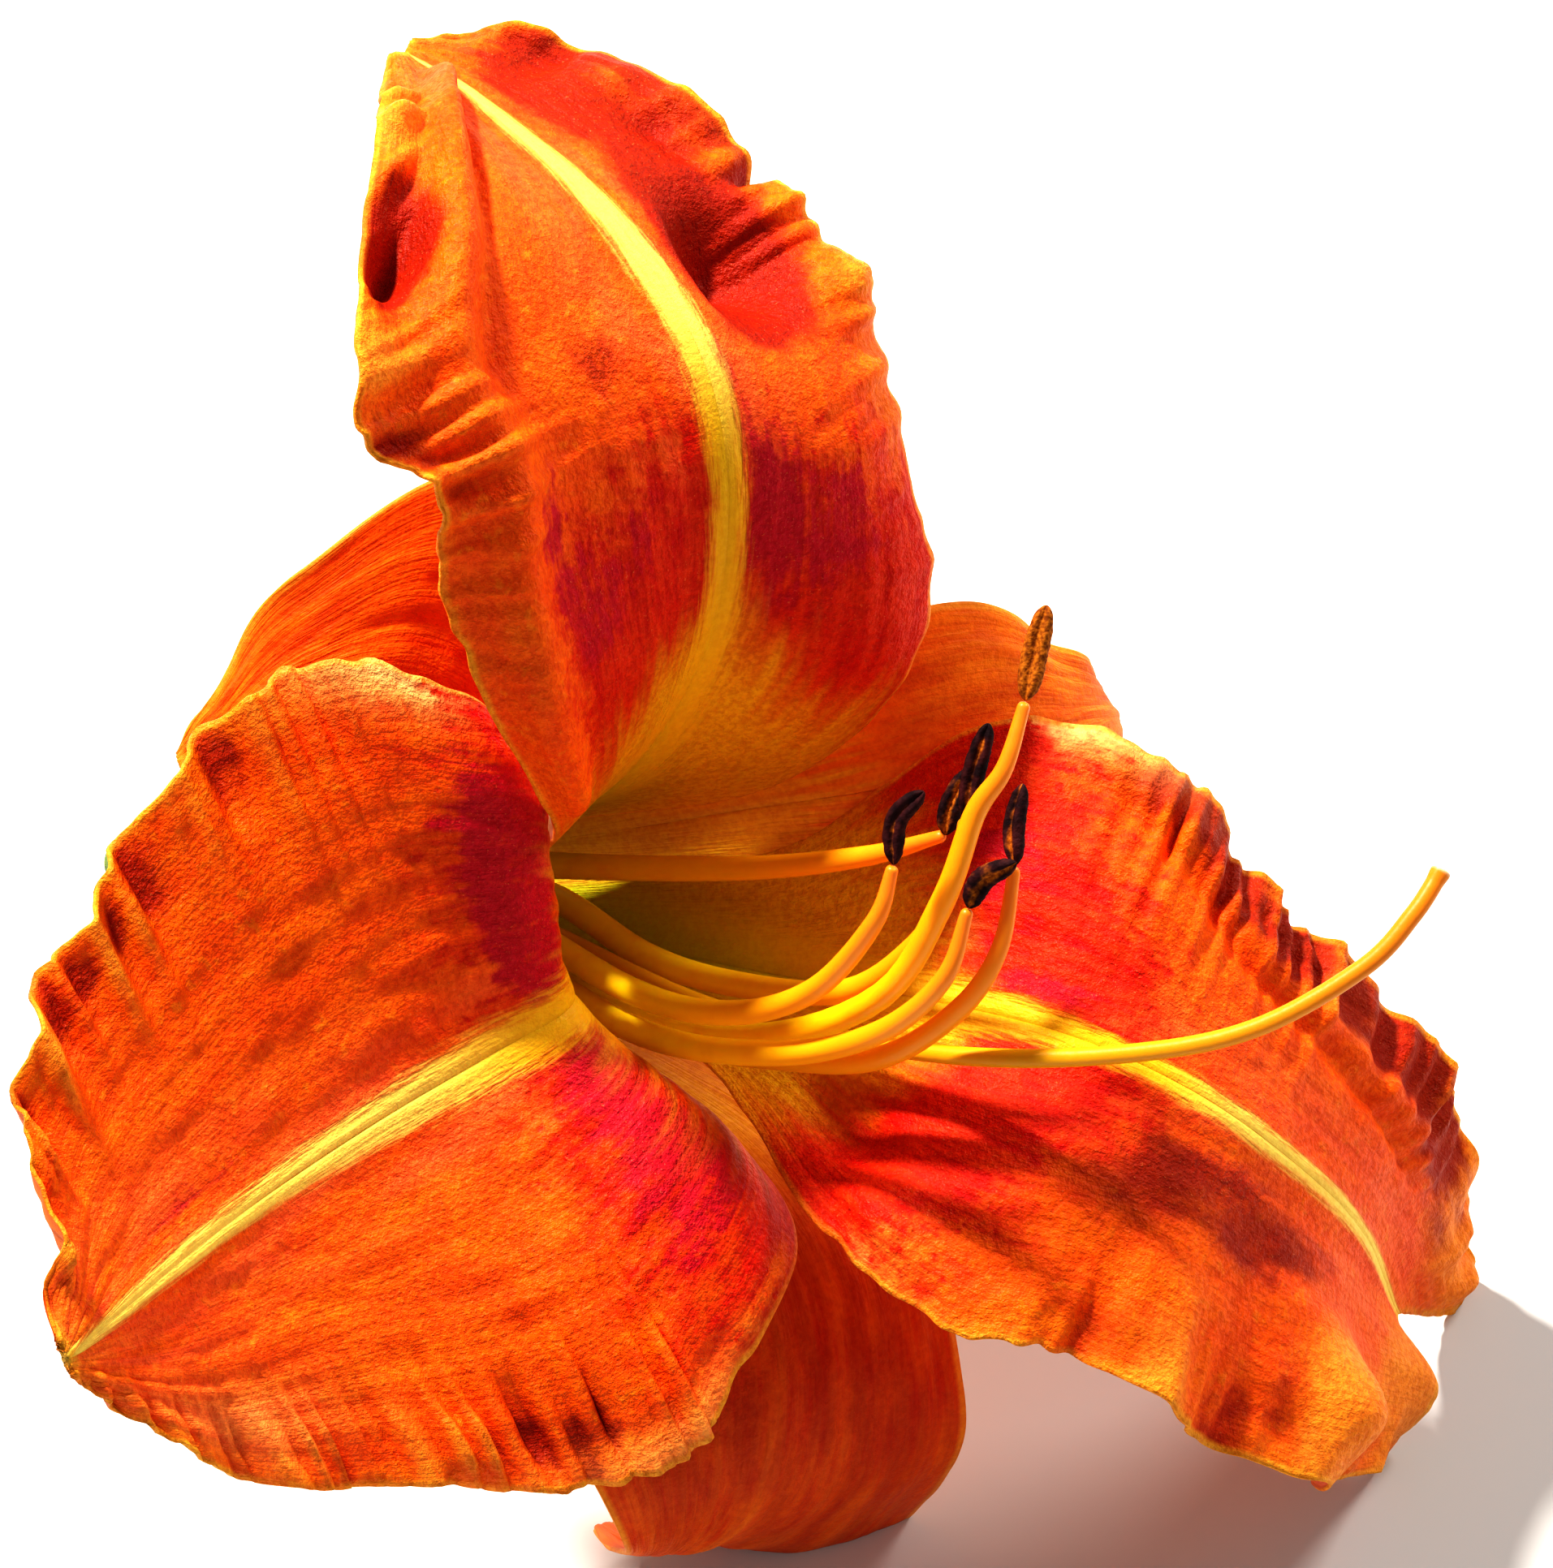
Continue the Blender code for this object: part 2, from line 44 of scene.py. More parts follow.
# How the bloom lies, and how a blade sags flat where it meets the surface
lay = {
    "turn": (43.1, 32.1, 27.1),
    "shift": (-31.3, 12.3, 25.54),
    "sagDepth": 2.2,
    "sagReach": 8.0,
    "flatAbove": 0.9,
    "rounds": 4,
}

# Camera: the bloom seen from its side and a little from below, as a photo of 1913 x 1932 pixels
viewpoint = {
    "side": 44.0,
    "rise": -2.0,
    "distance": 520.0,
    "throatDepth": -36.0,
    "throatPixel": (470, 1100),
    "photoSize": (1913, 1932),
    "pixelsPerMm": 16.0,
}

# Blades share these. Thickness goes from the midrib to the margin. Swings: how many the seeded noise
# has along a blade, or along and across it.
tissue = {
    "thickness": 0.7,
    "edgeShare": 0.5,
    "thicknessLevels": 20,
    "grids": {"petal": (290, 80), "sepal": (170, 44)},
    "columnPower": 1.25,
    "rowPower": 0.85,
    "sectionSteps": 49,
    "lengthSteps": 200,
    "grooveWidth": 0.28,
    "ribStarts": (0.05, 0.25),
    "ribEnds": 0.1,
    "reliefStarts": (0.2, 0.4),
    "reliefOffRib": (0.03, 0.15),
    "veinSwings": 5,
    "puckerSwings": (26, 9),
    "fineSwings": (60, 22),
    "raggedSwings": 60,
    "raggedPower": 6,
    "leastWidth": 0.5,
    "tipRim": 0.7,
    "eyeReach": 1.2,
}

# How waves, folds, ridges and crimps keep off the midrib, rise, end at the tip and vary
pleating = {
    "offRib": 0.15,
    "waveRise": 0.2,
    "waveTip": 0.06,
    "waveDrift": 0.12,
    "ridgeRise": 0.06,
    "crimpRise": 0.12,
    "crimpTip": 0.03,
    "crimpDrift": 0.5,
    "crimpSwell": (0.6, 0.5),
    "crimpSlant": 0.25,
    "crestTop": 2.2,
    "crestFoot": 0.8,
    "marginCalm": 0.7,
    "marginFrom": 0.78,
}

turnMatrix = np.array(Euler([math.radians(a) for a in lay["turn"]], "XYZ").to_matrix())
shiftVector = np.array(lay["shift"])


def toWorld(points):
    return points @ turnMatrix.T + shiftVector


def smoothThrough(values, places):
    knots = np.asarray(values, float)
    last = len(knots) - 1
    position = np.clip(np.asarray(places, float), 0, 1) * last
    index = np.minimum(position.astype(int), last - 1)
    part = position - index
    if knots.ndim > 1:
        part = part[:, None]
    padded = np.concatenate([[2 * knots[0] - knots[1]], knots, [2 * knots[-1] - knots[-2]]])
    before, start, end, after = (padded[index + step] for step in range(4))
    linear = end - before
    square = 2 * before - 5 * start + 4 * end - after
    cube = 3 * start - before - 3 * end + after
    return 0.5 * (2 * start + linear * part + square * part ** 2 + cube * part ** 3)


def softStep(values, start, end):
    share = np.clip((values - start) / (end - start), 0, 1)
    return share * share * (3 - 2 * share)


def wander(seed, places, count):
    # smooth seeded noise between about -1 and 1, with that many swings over the length
    values = np.random.default_rng(seed).uniform(-1, 1, count + 2)
    return smoothThrough(values, places)


def unevenness(seed, rows, columns, alongCount, acrossCount):
    # smooth seeded noise over a grid of places
    values = np.random.default_rng(seed).uniform(-1, 1, (alongCount + 2, acrossCount + 2))
    spread = smoothThrough(values, rows)
    return smoothThrough(spread.T, columns).T


def unit(vectors):
    return vectors / np.linalg.norm(vectors, axis=1)[:, None]


def lengthOf(path):
    return np.linalg.norm(np.diff(path, axis=0), axis=1).sum()


def joined(ccw, cw):
    # the two halves side by side, with the midrib's column once
    return np.concatenate([ccw[:, ::-1], cw[:, 1:]], 1)


def midribPoints(blade, along):
    radius, height = smoothThrough(blade["midrib"], along).T
    sway = smoothThrough(blade.get("sway", [0, 0]), along)
    azimuth = np.radians(blade["azimuth"] + sway)
    return np.stack([radius * np.cos(azimuth), radius * np.sin(azimuth), height], 1), azimuth


def midribFrame(blade, along):
    step = 0.001
    points, azimuth = midribPoints(blade, along)
    ahead = midribPoints(blade, np.clip(along + step, 0, 1))[0]
    behind = midribPoints(blade, np.clip(along - step, 0, 1))[0]
    forward = unit(ahead - behind)
    across = np.stack([-np.sin(azimuth), np.cos(azimuth), 0 * azimuth], 1)
    across = unit(across - forward * (across * forward).sum(1)[:, None])
    inward = np.cross(forward, across)
    twist = np.radians(smoothThrough(blade.get("twist", [0, 0]), along))[:, None]
    turnedAcross = across * np.cos(twist) + inward * np.sin(twist)
    turnedInward = inward * np.cos(twist) - across * np.sin(twist)
    return points, forward, turnedAcross, turnedInward


def ruffle(half, along, across):
    # waves and folds of the form, then crimps: short uneven pleats close to the margin
    s = along[:, None]
    t = across[None, :]
    height = np.zeros((len(along), len(across)))
    offRib = 1 - np.exp(-(t / pleating["offRib"]) ** 2)
    for count, size, phase, start, hold in half.get("waves", []):
        fade = softStep(s, start, start + pleating["waveRise"]) * endAtTip(s, pleating["waveTip"])
        wave = 2 * math.pi * (count * s + phase - pleating["waveDrift"] * t)
        height += size * fade * t ** hold * np.sin(wave)
    for place, offset, length, breadth, size in half.get("folds", []):
        bump = np.exp(-((s - place) / length) ** 2 - ((t - offset) / breadth) ** 2)
        height += size * bump * offRib
    for line, breadth, size in half.get("ridges", []):
        places, offsets = np.array(line).T
        middle = np.interp(along, places, offsets)[:, None]
        rise = pleating["ridgeRise"]
        ends = softStep(s, places[0], places[0] + rise) * softStep(s, places[-1], places[-1] - rise)
        height += size * ends * np.exp(-((t - middle) / breadth) ** 2) * offRib
    for count, size, start, hold, oblique, seed in half.get("crimps", []):
        phase = count * along + pleating["crimpDrift"] * wander(seed, along, count // 2)
        usual, spread = pleating["crimpSwell"]
        swell = usual + spread * wander(seed + 1, along, count)
        slant = oblique + pleating["crimpSlant"] * wander(seed + 2, along, count // 2)[:, None]
        wave = 2 * math.pi * (phase[:, None] + slant * t)
        crest = pleating["crestTop"] * (0.5 + 0.5 * np.sin(wave)) ** 2 - pleating["crestFoot"]
        fade = softStep(s, start, start + pleating["crimpRise"]) * endAtTip(s, pleating["crimpTip"])
        calm = 1 - pleating["marginCalm"] * softStep(t, pleating["marginFrom"], 1.0)
        height += size * fade * swell[:, None] * t ** hold * calm * crest
    return height


def endAtTip(along, reach):
    return np.sqrt(np.clip((1 - along) / reach, 0, 1))


def halfBlade(blade, side, along, across):
    points, forward, sideways, inward = midribFrame(blade, along)
    half = blade[side]
    hand = 1 if side == "ccw" else -1
    width = smoothThrough(half["width"], along)[:, None]
    leans = np.stack([smoothThrough(half[key], along) for key in ("inner", "middle", "outer")])
    fine = np.linspace(0, 1, tissue["sectionSteps"])
    slope = np.radians(smoothThrough(leans, fine)).T
    pieces = []
    for wave in (np.cos(slope), np.sin(slope)):
        steps = (wave[:, 1:] + wave[:, :-1]) / 2 / (len(fine) - 1)
        total = np.concatenate([np.zeros((len(along), 1)), np.cumsum(steps, 1)], 1)
        pieces.append(np.stack([np.interp(across, fine, row) for row in total]) * width)
    reach, lift = pieces
    local = np.stack([np.interp(across, fine, row) for row in slope])
    bump = ruffle(half, along, across) + relief(blade, side, along, across, width)
    reach = reach - bump * np.sin(local)
    lift = lift + bump * np.cos(local)
    lead = width * np.tan(np.radians(smoothThrough(half.get("lean", [0, 0]), along)))[:, None]
    ahead = lead * np.sin(math.pi / 2 * across)[None, :]
    frayed = half.get("ragged", 0) * wander(blade["seed"] + hand, along, tissue["raggedSwings"])
    ragged = 1 + frayed[:, None] * across[None, :] ** tissue["raggedPower"]
    return (points[:, None] + hand * (reach * ragged)[:, :, None] * sideways[:, None]
            + lift[:, :, None] * inward[:, None] + ahead[:, :, None] * forward[:, None])


def relief(blade, side, along, across, width):
    # the raised midrib with its fine groove, long vein swellings and shallow puckers, in mm
    rib = blade["rib"]
    distance = width * across[None, :]
    spread = smoothThrough(rib["width"], along)[:, None]
    ridge = rib["height"] * np.exp(-(distance / spread) ** 2)
    groove = rib["groove"] * np.exp(-(distance / tissue["grooveWidth"]) ** 2)
    rise = softStep(along, *tissue["ribStarts"]) * softStep(1 - along, 0.0, tissue["ribEnds"])
    seed = blade["seed"] + (10 if side == "ccw" else 20)
    quiet = softStep(along, *tissue["reliefStarts"])[:, None] * softStep(across, *tissue["reliefOffRib"])
    veins = unevenness(seed, along, across, tissue["veinSwings"], blade["veins"])
    puckers = unevenness(seed + 1, along, across, *tissue["puckerSwings"])
    fine = unevenness(seed + 2, along, across, *tissue["fineSwings"])
    return (ridge - groove) * rise[:, None] + quiet * (
        blade["veinHeight"] * veins + blade["puckerHeight"] * puckers + blade["fineHeight"] * fine)


def clearOfTable(world, half):
    # how high the middle of the blade lies where its lower skin touches: half its thickness, less on a slope
    facing = np.cross(np.gradient(world, axis=0), np.gradient(world, axis=1))
    level = np.abs(facing[..., 2]) / np.linalg.norm(facing, axis=2)
    level[level > lay["flatAbove"]] = 1
    return half * level


def pressedFlat(world, half):
    lowest = clearOfTable(world, half)
    gap = world[..., 2] - lowest
    depth, reach = lay["sagDepth"], lay["sagReach"]
    sagged = np.maximum(gap - depth, 0) * reach / (reach - depth)
    world[..., 2] = lowest + np.where(gap < reach, sagged, gap)
    for _ in range(lay["rounds"]):
        world[..., 2] = np.maximum(world[..., 2], clearOfTable(world, half))
    return world


# Each blade goes from claw to tip, and its lists are evenly spaced stations. midrib: radius and height.
# azimuth, sway and twist: where the blade points, how it bends aside and how it turns about its midrib.
# stripe: about half the width of the yellow rib. veins: how many swellings lie across a half.
# Each half, ccw or cw of the midrib as seen from above the throat, has its width, and as inner, middle
# and outer the slope of its section at the midrib, half way and at the margin.
# lean: how far forward its margin is swept. ragged: how uneven its margin is, as a share of the width.
# waves: count, size, phase, start, hold; a high hold keeps them near the margin.
# folds: place, offset, length, breadth, size. ridges: a line of place and offset, breadth, size.
# crimps: count, size, start, hold, oblique, seed.
# plum and pale, soft patches of those colours; shade, of painted shade: place, offset, length, breadth,
# share.
# throat and eye: how far up the colour reaches at the midrib, half way and at the margin.
# eyeReach: how far out it goes, as a share of the width.
petalUpper = {
    "seed": 11,
    "azimuth": 110,
    "midrib": [(5.0, 0.3), (6.5, 15), (11.5, 29), (22, 42), (33, 48.5), (43, 49.8), (51, 46.5),
               (58, 40.5), (64.5, 32), (69.5, 25)],
    "rib": {"height": 0.8, "groove": 0.0, "width": [3.2, 3.2, 3.0, 2.6, 2.2, 1.9, 1.7, 1.5, 1.2, 0.9]},
    "stripe": [6, 5.5, 4.2, 2.4, 1.6, 1.6, 1.5, 1.3, 0.9, 0.1],
    "veins": 15,
    "veinHeight": 0.10,
    "puckerHeight": 0.08,
    "fineHeight": 0.05,
    "ccw": {
        "width": [2.4, 5.3, 9.9, 21, 25.5, 26.5, 31.3, 23.5, 12.5, 2],
        "inner": [2, 2, 22, 12, -9, -10, 0, 15, 25, 25],
        "middle": [14, 21, 20, 0, -10, -8, -3, 8, 18, 20],
        "outer": [27, 40, 15, -25, -15, 10, 10, 5, 0, 0],
        "waves": [(7, 0.8, 0.15, 0.5, 3)],
        "folds": [(0.77, 0.84, 0.035, 0.13, -5.5), (0.69, 0.95, 0.035, 0.16, 2.0),
                  (0.62, 0.98, 0.025, 0.12, -1.6), (0.86, 0.85, 0.035, 0.16, 2.0)],
        "ridges": [([(0.24, 0.84), (0.41, 0.78), (0.55, 0.75), (0.65, 0.68), (0.79, 0.62), (0.88, 0.5),
                     (0.97, 0.2)], 0.11, 2.8),
                   ([(0.6, 0.6), (0.73, 0.52), (0.86, 0.38), (0.95, 0.1)], 0.05, -0.8)],
        "crimps": [(22, 1.5, 0.42, 4, 0, 31), (43, 0.30, 0.12, 3, 2.0, 35)],
        "plum": [(0.40, 0.50, 0.05, 0.12, 0.7), (0.45, 0.30, 0.04, 0.10, 0.5), (0.47, 0.62, 0.07, 0.07, 0.8)],
        "shade": [(0.78, 0.86, 0.13, 0.16, 0.6), (0.60, 0.92, 0.10, 0.10, 0.4),
                  (0.62, 0.28, 0.07, 0.10, 0.75), (0.90, 0.80, 0.08, 0.30, 0.5)],
        "ragged": 0.012,
        "throat": (0.37, 0.28, 0.20),
        "eye": (0.52, 0.465, 0.37),
        "eyeReach": 0.70,
    },
    "cw": {
        "width": [2.4, 5.2, 15, 20, 18.6, 19.2, 18.5, 17.2, 12.8, 2],
        "inner": [2, 2, 30, 42, 38, 27, 17, 6, 2, 0],
        "middle": [14, 21, 30, 35, 13, 0, -1, 0, 5, 5],
        "outer": [27, 40, 20, -13, -30, -30, -20, -5, 5, 0],
        "lean": [0, 0, 0, 0, 0, 0, 0, 0, 15, 30],
        "waves": [(9, 0.7, 0.1, 0.42, 3)],
        "folds": [(0.655, 0.50, 0.075, 0.30, -7.5), (0.735, 0.97, 0.014, 0.14, -2.4),
                  (0.80, 0.7, 0.03, 0.16, -1.6), (0.89, 0.75, 0.02, 0.3, -1.3),
                  (0.845, 0.8, 0.02, 0.2, 1.2), (0.6, 0.9, 0.05, 0.2, 1.5)],
        "ridges": [([(0.55, 0.26), (0.62, 0.15), (0.70, 0.22), (0.77, 0.31)], 0.05, 0.9)],
        "crimps": [(26, 0.9, 0.40, 6, 0, 41), (48, 0.10, 0.30, 2, -2.0, 45), (31, 0.5, 0.28, 4, 0.6, 47)],
        "plum": [(0.45, 0.20, 0.08, 0.14, 1.0), (0.56, 0.07, 0.06, 0.05, 0.7), (0.42, 0.50, 0.05, 0.25, 0.8)],
        "shade": [(0.75, 0.36, 0.05, 0.14, 1.0), (0.67, 0.42, 0.05, 0.18, 1.0), (0.60, 0.38, 0.04, 0.16, 0.9),
                  (0.66, 0.60, 0.05, 0.14, 0.9), (0.73, 0.52, 0.05, 0.12, 0.8), (0.87, 0.52, 0.09, 0.45, 1.1),
                  (0.84, 0.95, 0.10, 0.14, 0.6)],
        "ragged": 0.02,
        "throat": (0.37, 0.31, 0.27),
        "eye": (0.48, 0.45, 0.43),
        "eyeReach": 1.1,
    },
}

petalLeft = {
    "seed": 12,
    "azimuth": 212,
    "sway": [0, 0, 0, 0, -0.8, -1.6, -2, -2.2, -2.2],
    "midrib": [(5.0, 0.3), (7.5, 15), (12, 28), (14.8, 33.2), (22, 31.4), (32, 29), (44, 27.5),
               (55, 27.7), (66, 29)],
    "rib": {"height": 0.5, "groove": 0.14, "width": [3.2, 3.2, 3.0, 2.4, 2.2, 2.0, 1.7, 1.4, 0.9]},
    "stripe": [6, 5.5, 4.0, 2.9, 2.4, 1.8, 1.2, 0.8, 0.4],
    "veins": 20,
    "veinHeight": 0.12,
    "puckerHeight": 0.14,
    "fineHeight": 0.07,
    "ccw": {
        "width": [2.4, 5.4, 11.5, 27.5, 34.5, 33, 25.5, 17.5, 1.5],
        "lean": [0, 0, 0, 0, 0, 0, 0, 3, 6],
        "inner": [2, 2, 8, 26, 23, 15, 9, 3, 0],
        "middle": [14, 21, 20, 29, 30, 22, 15, 6, 0],
        "outer": [27, 40, 38, 1, 5, 5, 7, 3, 0],
        "waves": [(11, 0.8, 0.2, 0.42, 4)],
        "folds": [(0.64, 0.84, 0.02, 0.12, -1.6), (0.70, 0.88, 0.02, 0.12, 1.6),
                  (0.575, 0.86, 0.02, 0.12, -1.4)],
        "crimps": [(34, 1.9, 0.40, 4.5, 0, 51), (61, 0.8, 0.44, 4, 0.4, 55)],
        "plum": [(0.40, 0.15, 0.05, 0.12, 0.8), (0.40, 0.40, 0.05, 0.18, 1.0), (0.38, 0.65, 0.06, 0.15, 0.6)],
        "pale": [(0.86, 0.72, 0.07, 0.16, 0.25), (0.51, 0.98, 0.10, 0.07, 0.3)],
        "shade": [(0.66, 0.90, 0.16, 0.08, 0.5), (0.62, 0.45, 0.18, 0.30, 0.45)],
        "ragged": 0.01,
        "throat": (0.355, 0.335, 0.29),
        "eye": (0.45, 0.465, 0.38),
    },
    "cw": {
        "width": [2.4, 5.2, 10.8, 28.3, 34.8, 33.4, 26.8, 18.8, 1.5],
        "inner": [2, 2, 8, 15, 6, -1, -5, -7, -1],
        "middle": [14, 21, 18, 11, 1, -5, -9, -10, -1],
        "outer": [27, 40, 30, -16, -14, -11, -7, -5, -1],
        "lean": [0, 0, 0, 0, 0, 0, 2, 6, 0],
        "waves": [(11, 1.1, 0.0, 0.4, 3.5)],
        "folds": [(0.335, 0.74, 0.04, 0.2, 0.8)],
        "crimps": [(20, 3.0, 0.46, 4.5, 0, 61), (37, 1.0, 0.40, 5, 0.5, 63), (63, 0.5, 0.42, 3.5, 0.6, 65)],
        "pale": [(0.42, 1.0, 0.09, 0.09, 1.2)],
        "plum": [(0.38, 0.65, 0.07, 0.18, 1.0), (0.41, 0.40, 0.06, 0.20, 1.2), (0.41, 0.18, 0.05, 0.12, 1.0),
                 (0.80, 0.14, 0.10, 0.05, 0.5)],
        "shade": [(0.76, 0.88, 0.10, 0.10, 0.6), (0.62, 0.90, 0.06, 0.08, 0.4),
                  (0.80, 0.55, 0.10, 0.30, 0.45)],
        "ragged": 0.012,
        "throat": (0.35, 0.32, 0.29),
        "eye": (0.45, 0.44, 0.37),
    },
}

petalRight = {
    "seed": 13,
    "azimuth": -29,
    "midrib": [(5.0, 0.3), (8, 16), (12, 32.5), (14.8, 47.5), (19, 59), (27, 65), (38, 66.5), (51, 64.5),
               (69, 56)],
    "rib": {"height": 0.6, "groove": 0.15, "width": [3.2, 3.2, 3.0, 2.6, 2.4, 2.1, 1.8, 1.4, 0.9]},
    "stripe": [6, 6, 5, 2.6, 1.4, 1.1, 1.0, 0.8, 0.4],
    "veins": 16,
    "veinHeight": 0.10,
    "puckerHeight": 0.10,
    "fineHeight": 0.06,
    "ccw": {
        "width": [2.4, 5.6, 11, 23.5, 24.5, 20.8, 19, 16, 9],
        "inner": [2, 2, 20, 18, 10, -2, -5, 0, 5],
        "middle": [14, 21, 18, 15, 2, -12, -10, 0, 5],
        "outer": [27, 40, 15, -1, -20, -25, -18, 2, 8],
        "lean": [0, 0, 0, 0, 0, 4, 16, 38, 50],
        "waves": [(11, 0.9, 0.3, 0.4, 3.5)],
        "folds": [(0.96, 0.7, 0.06, 0.35, 2.2)],
        "ridges": [([(0.42, 0.84), (0.50, 0.77), (0.58, 0.69), (0.64, 0.60), (0.77, 0.52),
                     (0.90, 0.43)], 0.05, -0.7),
                   ([(0.42, 0.95), (0.50, 0.88), (0.58, 0.80), (0.64, 0.72), (0.77, 0.64),
                     (0.90, 0.56)], 0.07, 0.7)],
        "crimps": [(37, 1.5, 0.42, 2.8, 0.3, 71), (23, 0.9, 0.42, 4, 0, 75)],
        "pale": [(0.41, 1.0, 0.08, 0.10, 0.9)],
        "plum": [(0.36, 0.25, 0.08, 0.16, 0.6), (0.40, 0.50, 0.06, 0.18, 0.6), (0.47, 0.12, 0.05, 0.06, 0.8)],
        "shade": [(0.50, 0.92, 0.05, 0.14, 0.6), (0.57, 0.90, 0.06, 0.18, 0.9),
                  (0.66, 0.88, 0.07, 0.20, 1.1), (0.76, 0.86, 0.07, 0.22, 1.1),
                  (0.86, 0.80, 0.07, 0.26, 1.0), (0.94, 0.64, 0.06, 0.32, 1.0)],
        "ragged": 0.012,
        "throat": (0.41, 0.34, 0.28),
        "eye": (0.60, 0.51, 0.40),
    },
    "cw": {
        "width": [2.4, 4.4, 10, 20.5, 25.2, 23.3, 23.8, 20.5, 10.5],
        "inner": [2, 0, 0, 6, 8, 7, 7, 10, 5],
        "middle": [14, 18, 12, 6, -1, 2, 9, 12, 10],
        "outer": [27, 36, 25, 0, -14, -9, 3, 5, 5],
        "lean": [0, 0, 0, 0, 0, 0, 5, 14, 25],
        "waves": [(7, 2.0, 0.55, 0.5, 2.5)],
        "folds": [(0.36, 0.6, 0.05, 0.16, -2.2), (0.42, 0.8, 0.04, 0.12, 2.0),
                  (0.87, 0.7, 0.06, 0.22, 3.5), (1.0, 0.45, 0.05, 0.3, 4.0),
                  (0.855, 0.74, 0.02, 0.22, 1.5), (0.81, 0.80, 0.02, 0.2, -1.2)],
        "crimps": [(24, 1.0, 0.5, 5, 0, 81)],
        "pale": [(0.33, 1.0, 0.07, 0.16, 1.2)],
        "shade": [(0.62, 0.32, 0.16, 0.30, 0.65), (0.80, 0.72, 0.03, 0.20, 0.7),
                  (0.77, 0.26, 0.13, 0.18, 0.55)],
        "ragged": 0.012,
        "throat": (0.42, 0.335, 0.28),
        "eye": (0.60, 0.52, 0.42),
    },
}

# What all sepals share, and what all their halves share
plainSepal = {
    "rib": {"height": 0.35, "groove": 0.12, "width": [2.4, 2.4, 2.2, 2.0, 1.8, 1.6, 1.4, 1.1, 0.8]},
    "stripe": [4, 3.6, 2.6, 1.6, 1.1, 0.9, 0.8, 0.7, 0.5],
    "veinHeight": 0.12,
    "puckerHeight": 0.06,
    "fineHeight": 0.03,
}
plainHalf = {"throat": (0.33, 0.31, 0.28), "eye": (0.36, 0.34, 0.3)}

sepalUpperLeft = plainSepal | {
    "seed": 14,
    "azimuth": 150,
    "sway": [0, 0, 0, 0, 0, 2, 5, 10, 15],
    "twist": [0, 0, 0, -6, -12, -16, -16, -12, -8],
    "midrib": [(6.3, 0.3), (10, 12), (14.5, 21), (19, 26.5), (25, 29.5), (31, 28.5), (35.5, 26),
               (38, 22), (39, 17)],
    "veins": 12,
    "ccw": plainHalf | {
        "width": [2.6, 5, 8.5, 11, 12.5, 13, 11, 7, 1.5],
        "inner": [2, 2, 10, 5, 0, -5, -5, -5, 0],
        "middle": [12, 14, 10, 0, -5, -8, -8, -5, 0],
        "outer": [23, 28, 8, 0, -5, -8, -10, -8, 0],
        "waves": [(6, 0.6, 0.2, 0.5, 3)],
    },
    "cw": plainHalf | {
        "width": [2.6, 8, 14, 17, 19.3, 19.6, 10.6, 5, 1.5],
        "inner": [2, 2, 10, 5, 0, 0, 0, 0, 0],
        "middle": [12, 14, 10, 5, 5, 5, 5, 0, 0],
        "outer": [23, 28, 5, 0, 5, 5, 5, 0, 0],
        "waves": [(5, 0.6, 0.6, 0.5, 3)],
    },
}

sepalUpperRight = plainSepal | {
    "seed": 15,
    "azimuth": 33,
    "sway": [0, 0, 0, -2, -5, -9, -12, -15, -17],
    "midrib": [(6.3, 0.3), (9.5, 15), (14, 28), (18.5, 38.5), (25, 44.5), (33, 46), (41, 43), (46, 37),
               (49, 29)],
    "veins": 12,
    "ccw": plainHalf | {
        "width": [2.6, 5, 9, 13.2, 13.2, 9, 5, 3.5, 1.5],
        "inner": [2, 2, 10, 5, 0, -5, -5, -5, 0],
        "middle": [12, 14, 10, 0, -5, -10, -10, -5, 0],
        "outer": [23, 28, 5, -10, -20, -25, -20, -10, 0],
        "waves": [(6, 0.6, 0.1, 0.5, 3)],
        # pale: painted light that lightens the middle of this sepal
        "pale": [(0.62, 0.5, 0.35, 0.9, 0.14)],
    },
    "cw": plainHalf | {
        "width": [2.6, 6.2, 9.5, 13, 17, 18, 16, 10, 1.5],
        "inner": [2, 2, 10, 5, 0, 0, 0, 0, 0],
        "middle": [12, 14, 10, 0, -5, -5, -5, 0, 0],
        "outer": [23, 28, 5, -5, -10, -10, -10, 0, 0],
        "waves": [(5, 0.6, 0.4, 0.5, 3)],
        # pale: painted light, as on the other half
        "pale": [(0.62, 0.5, 0.35, 0.9, 0.14)],
    },
}

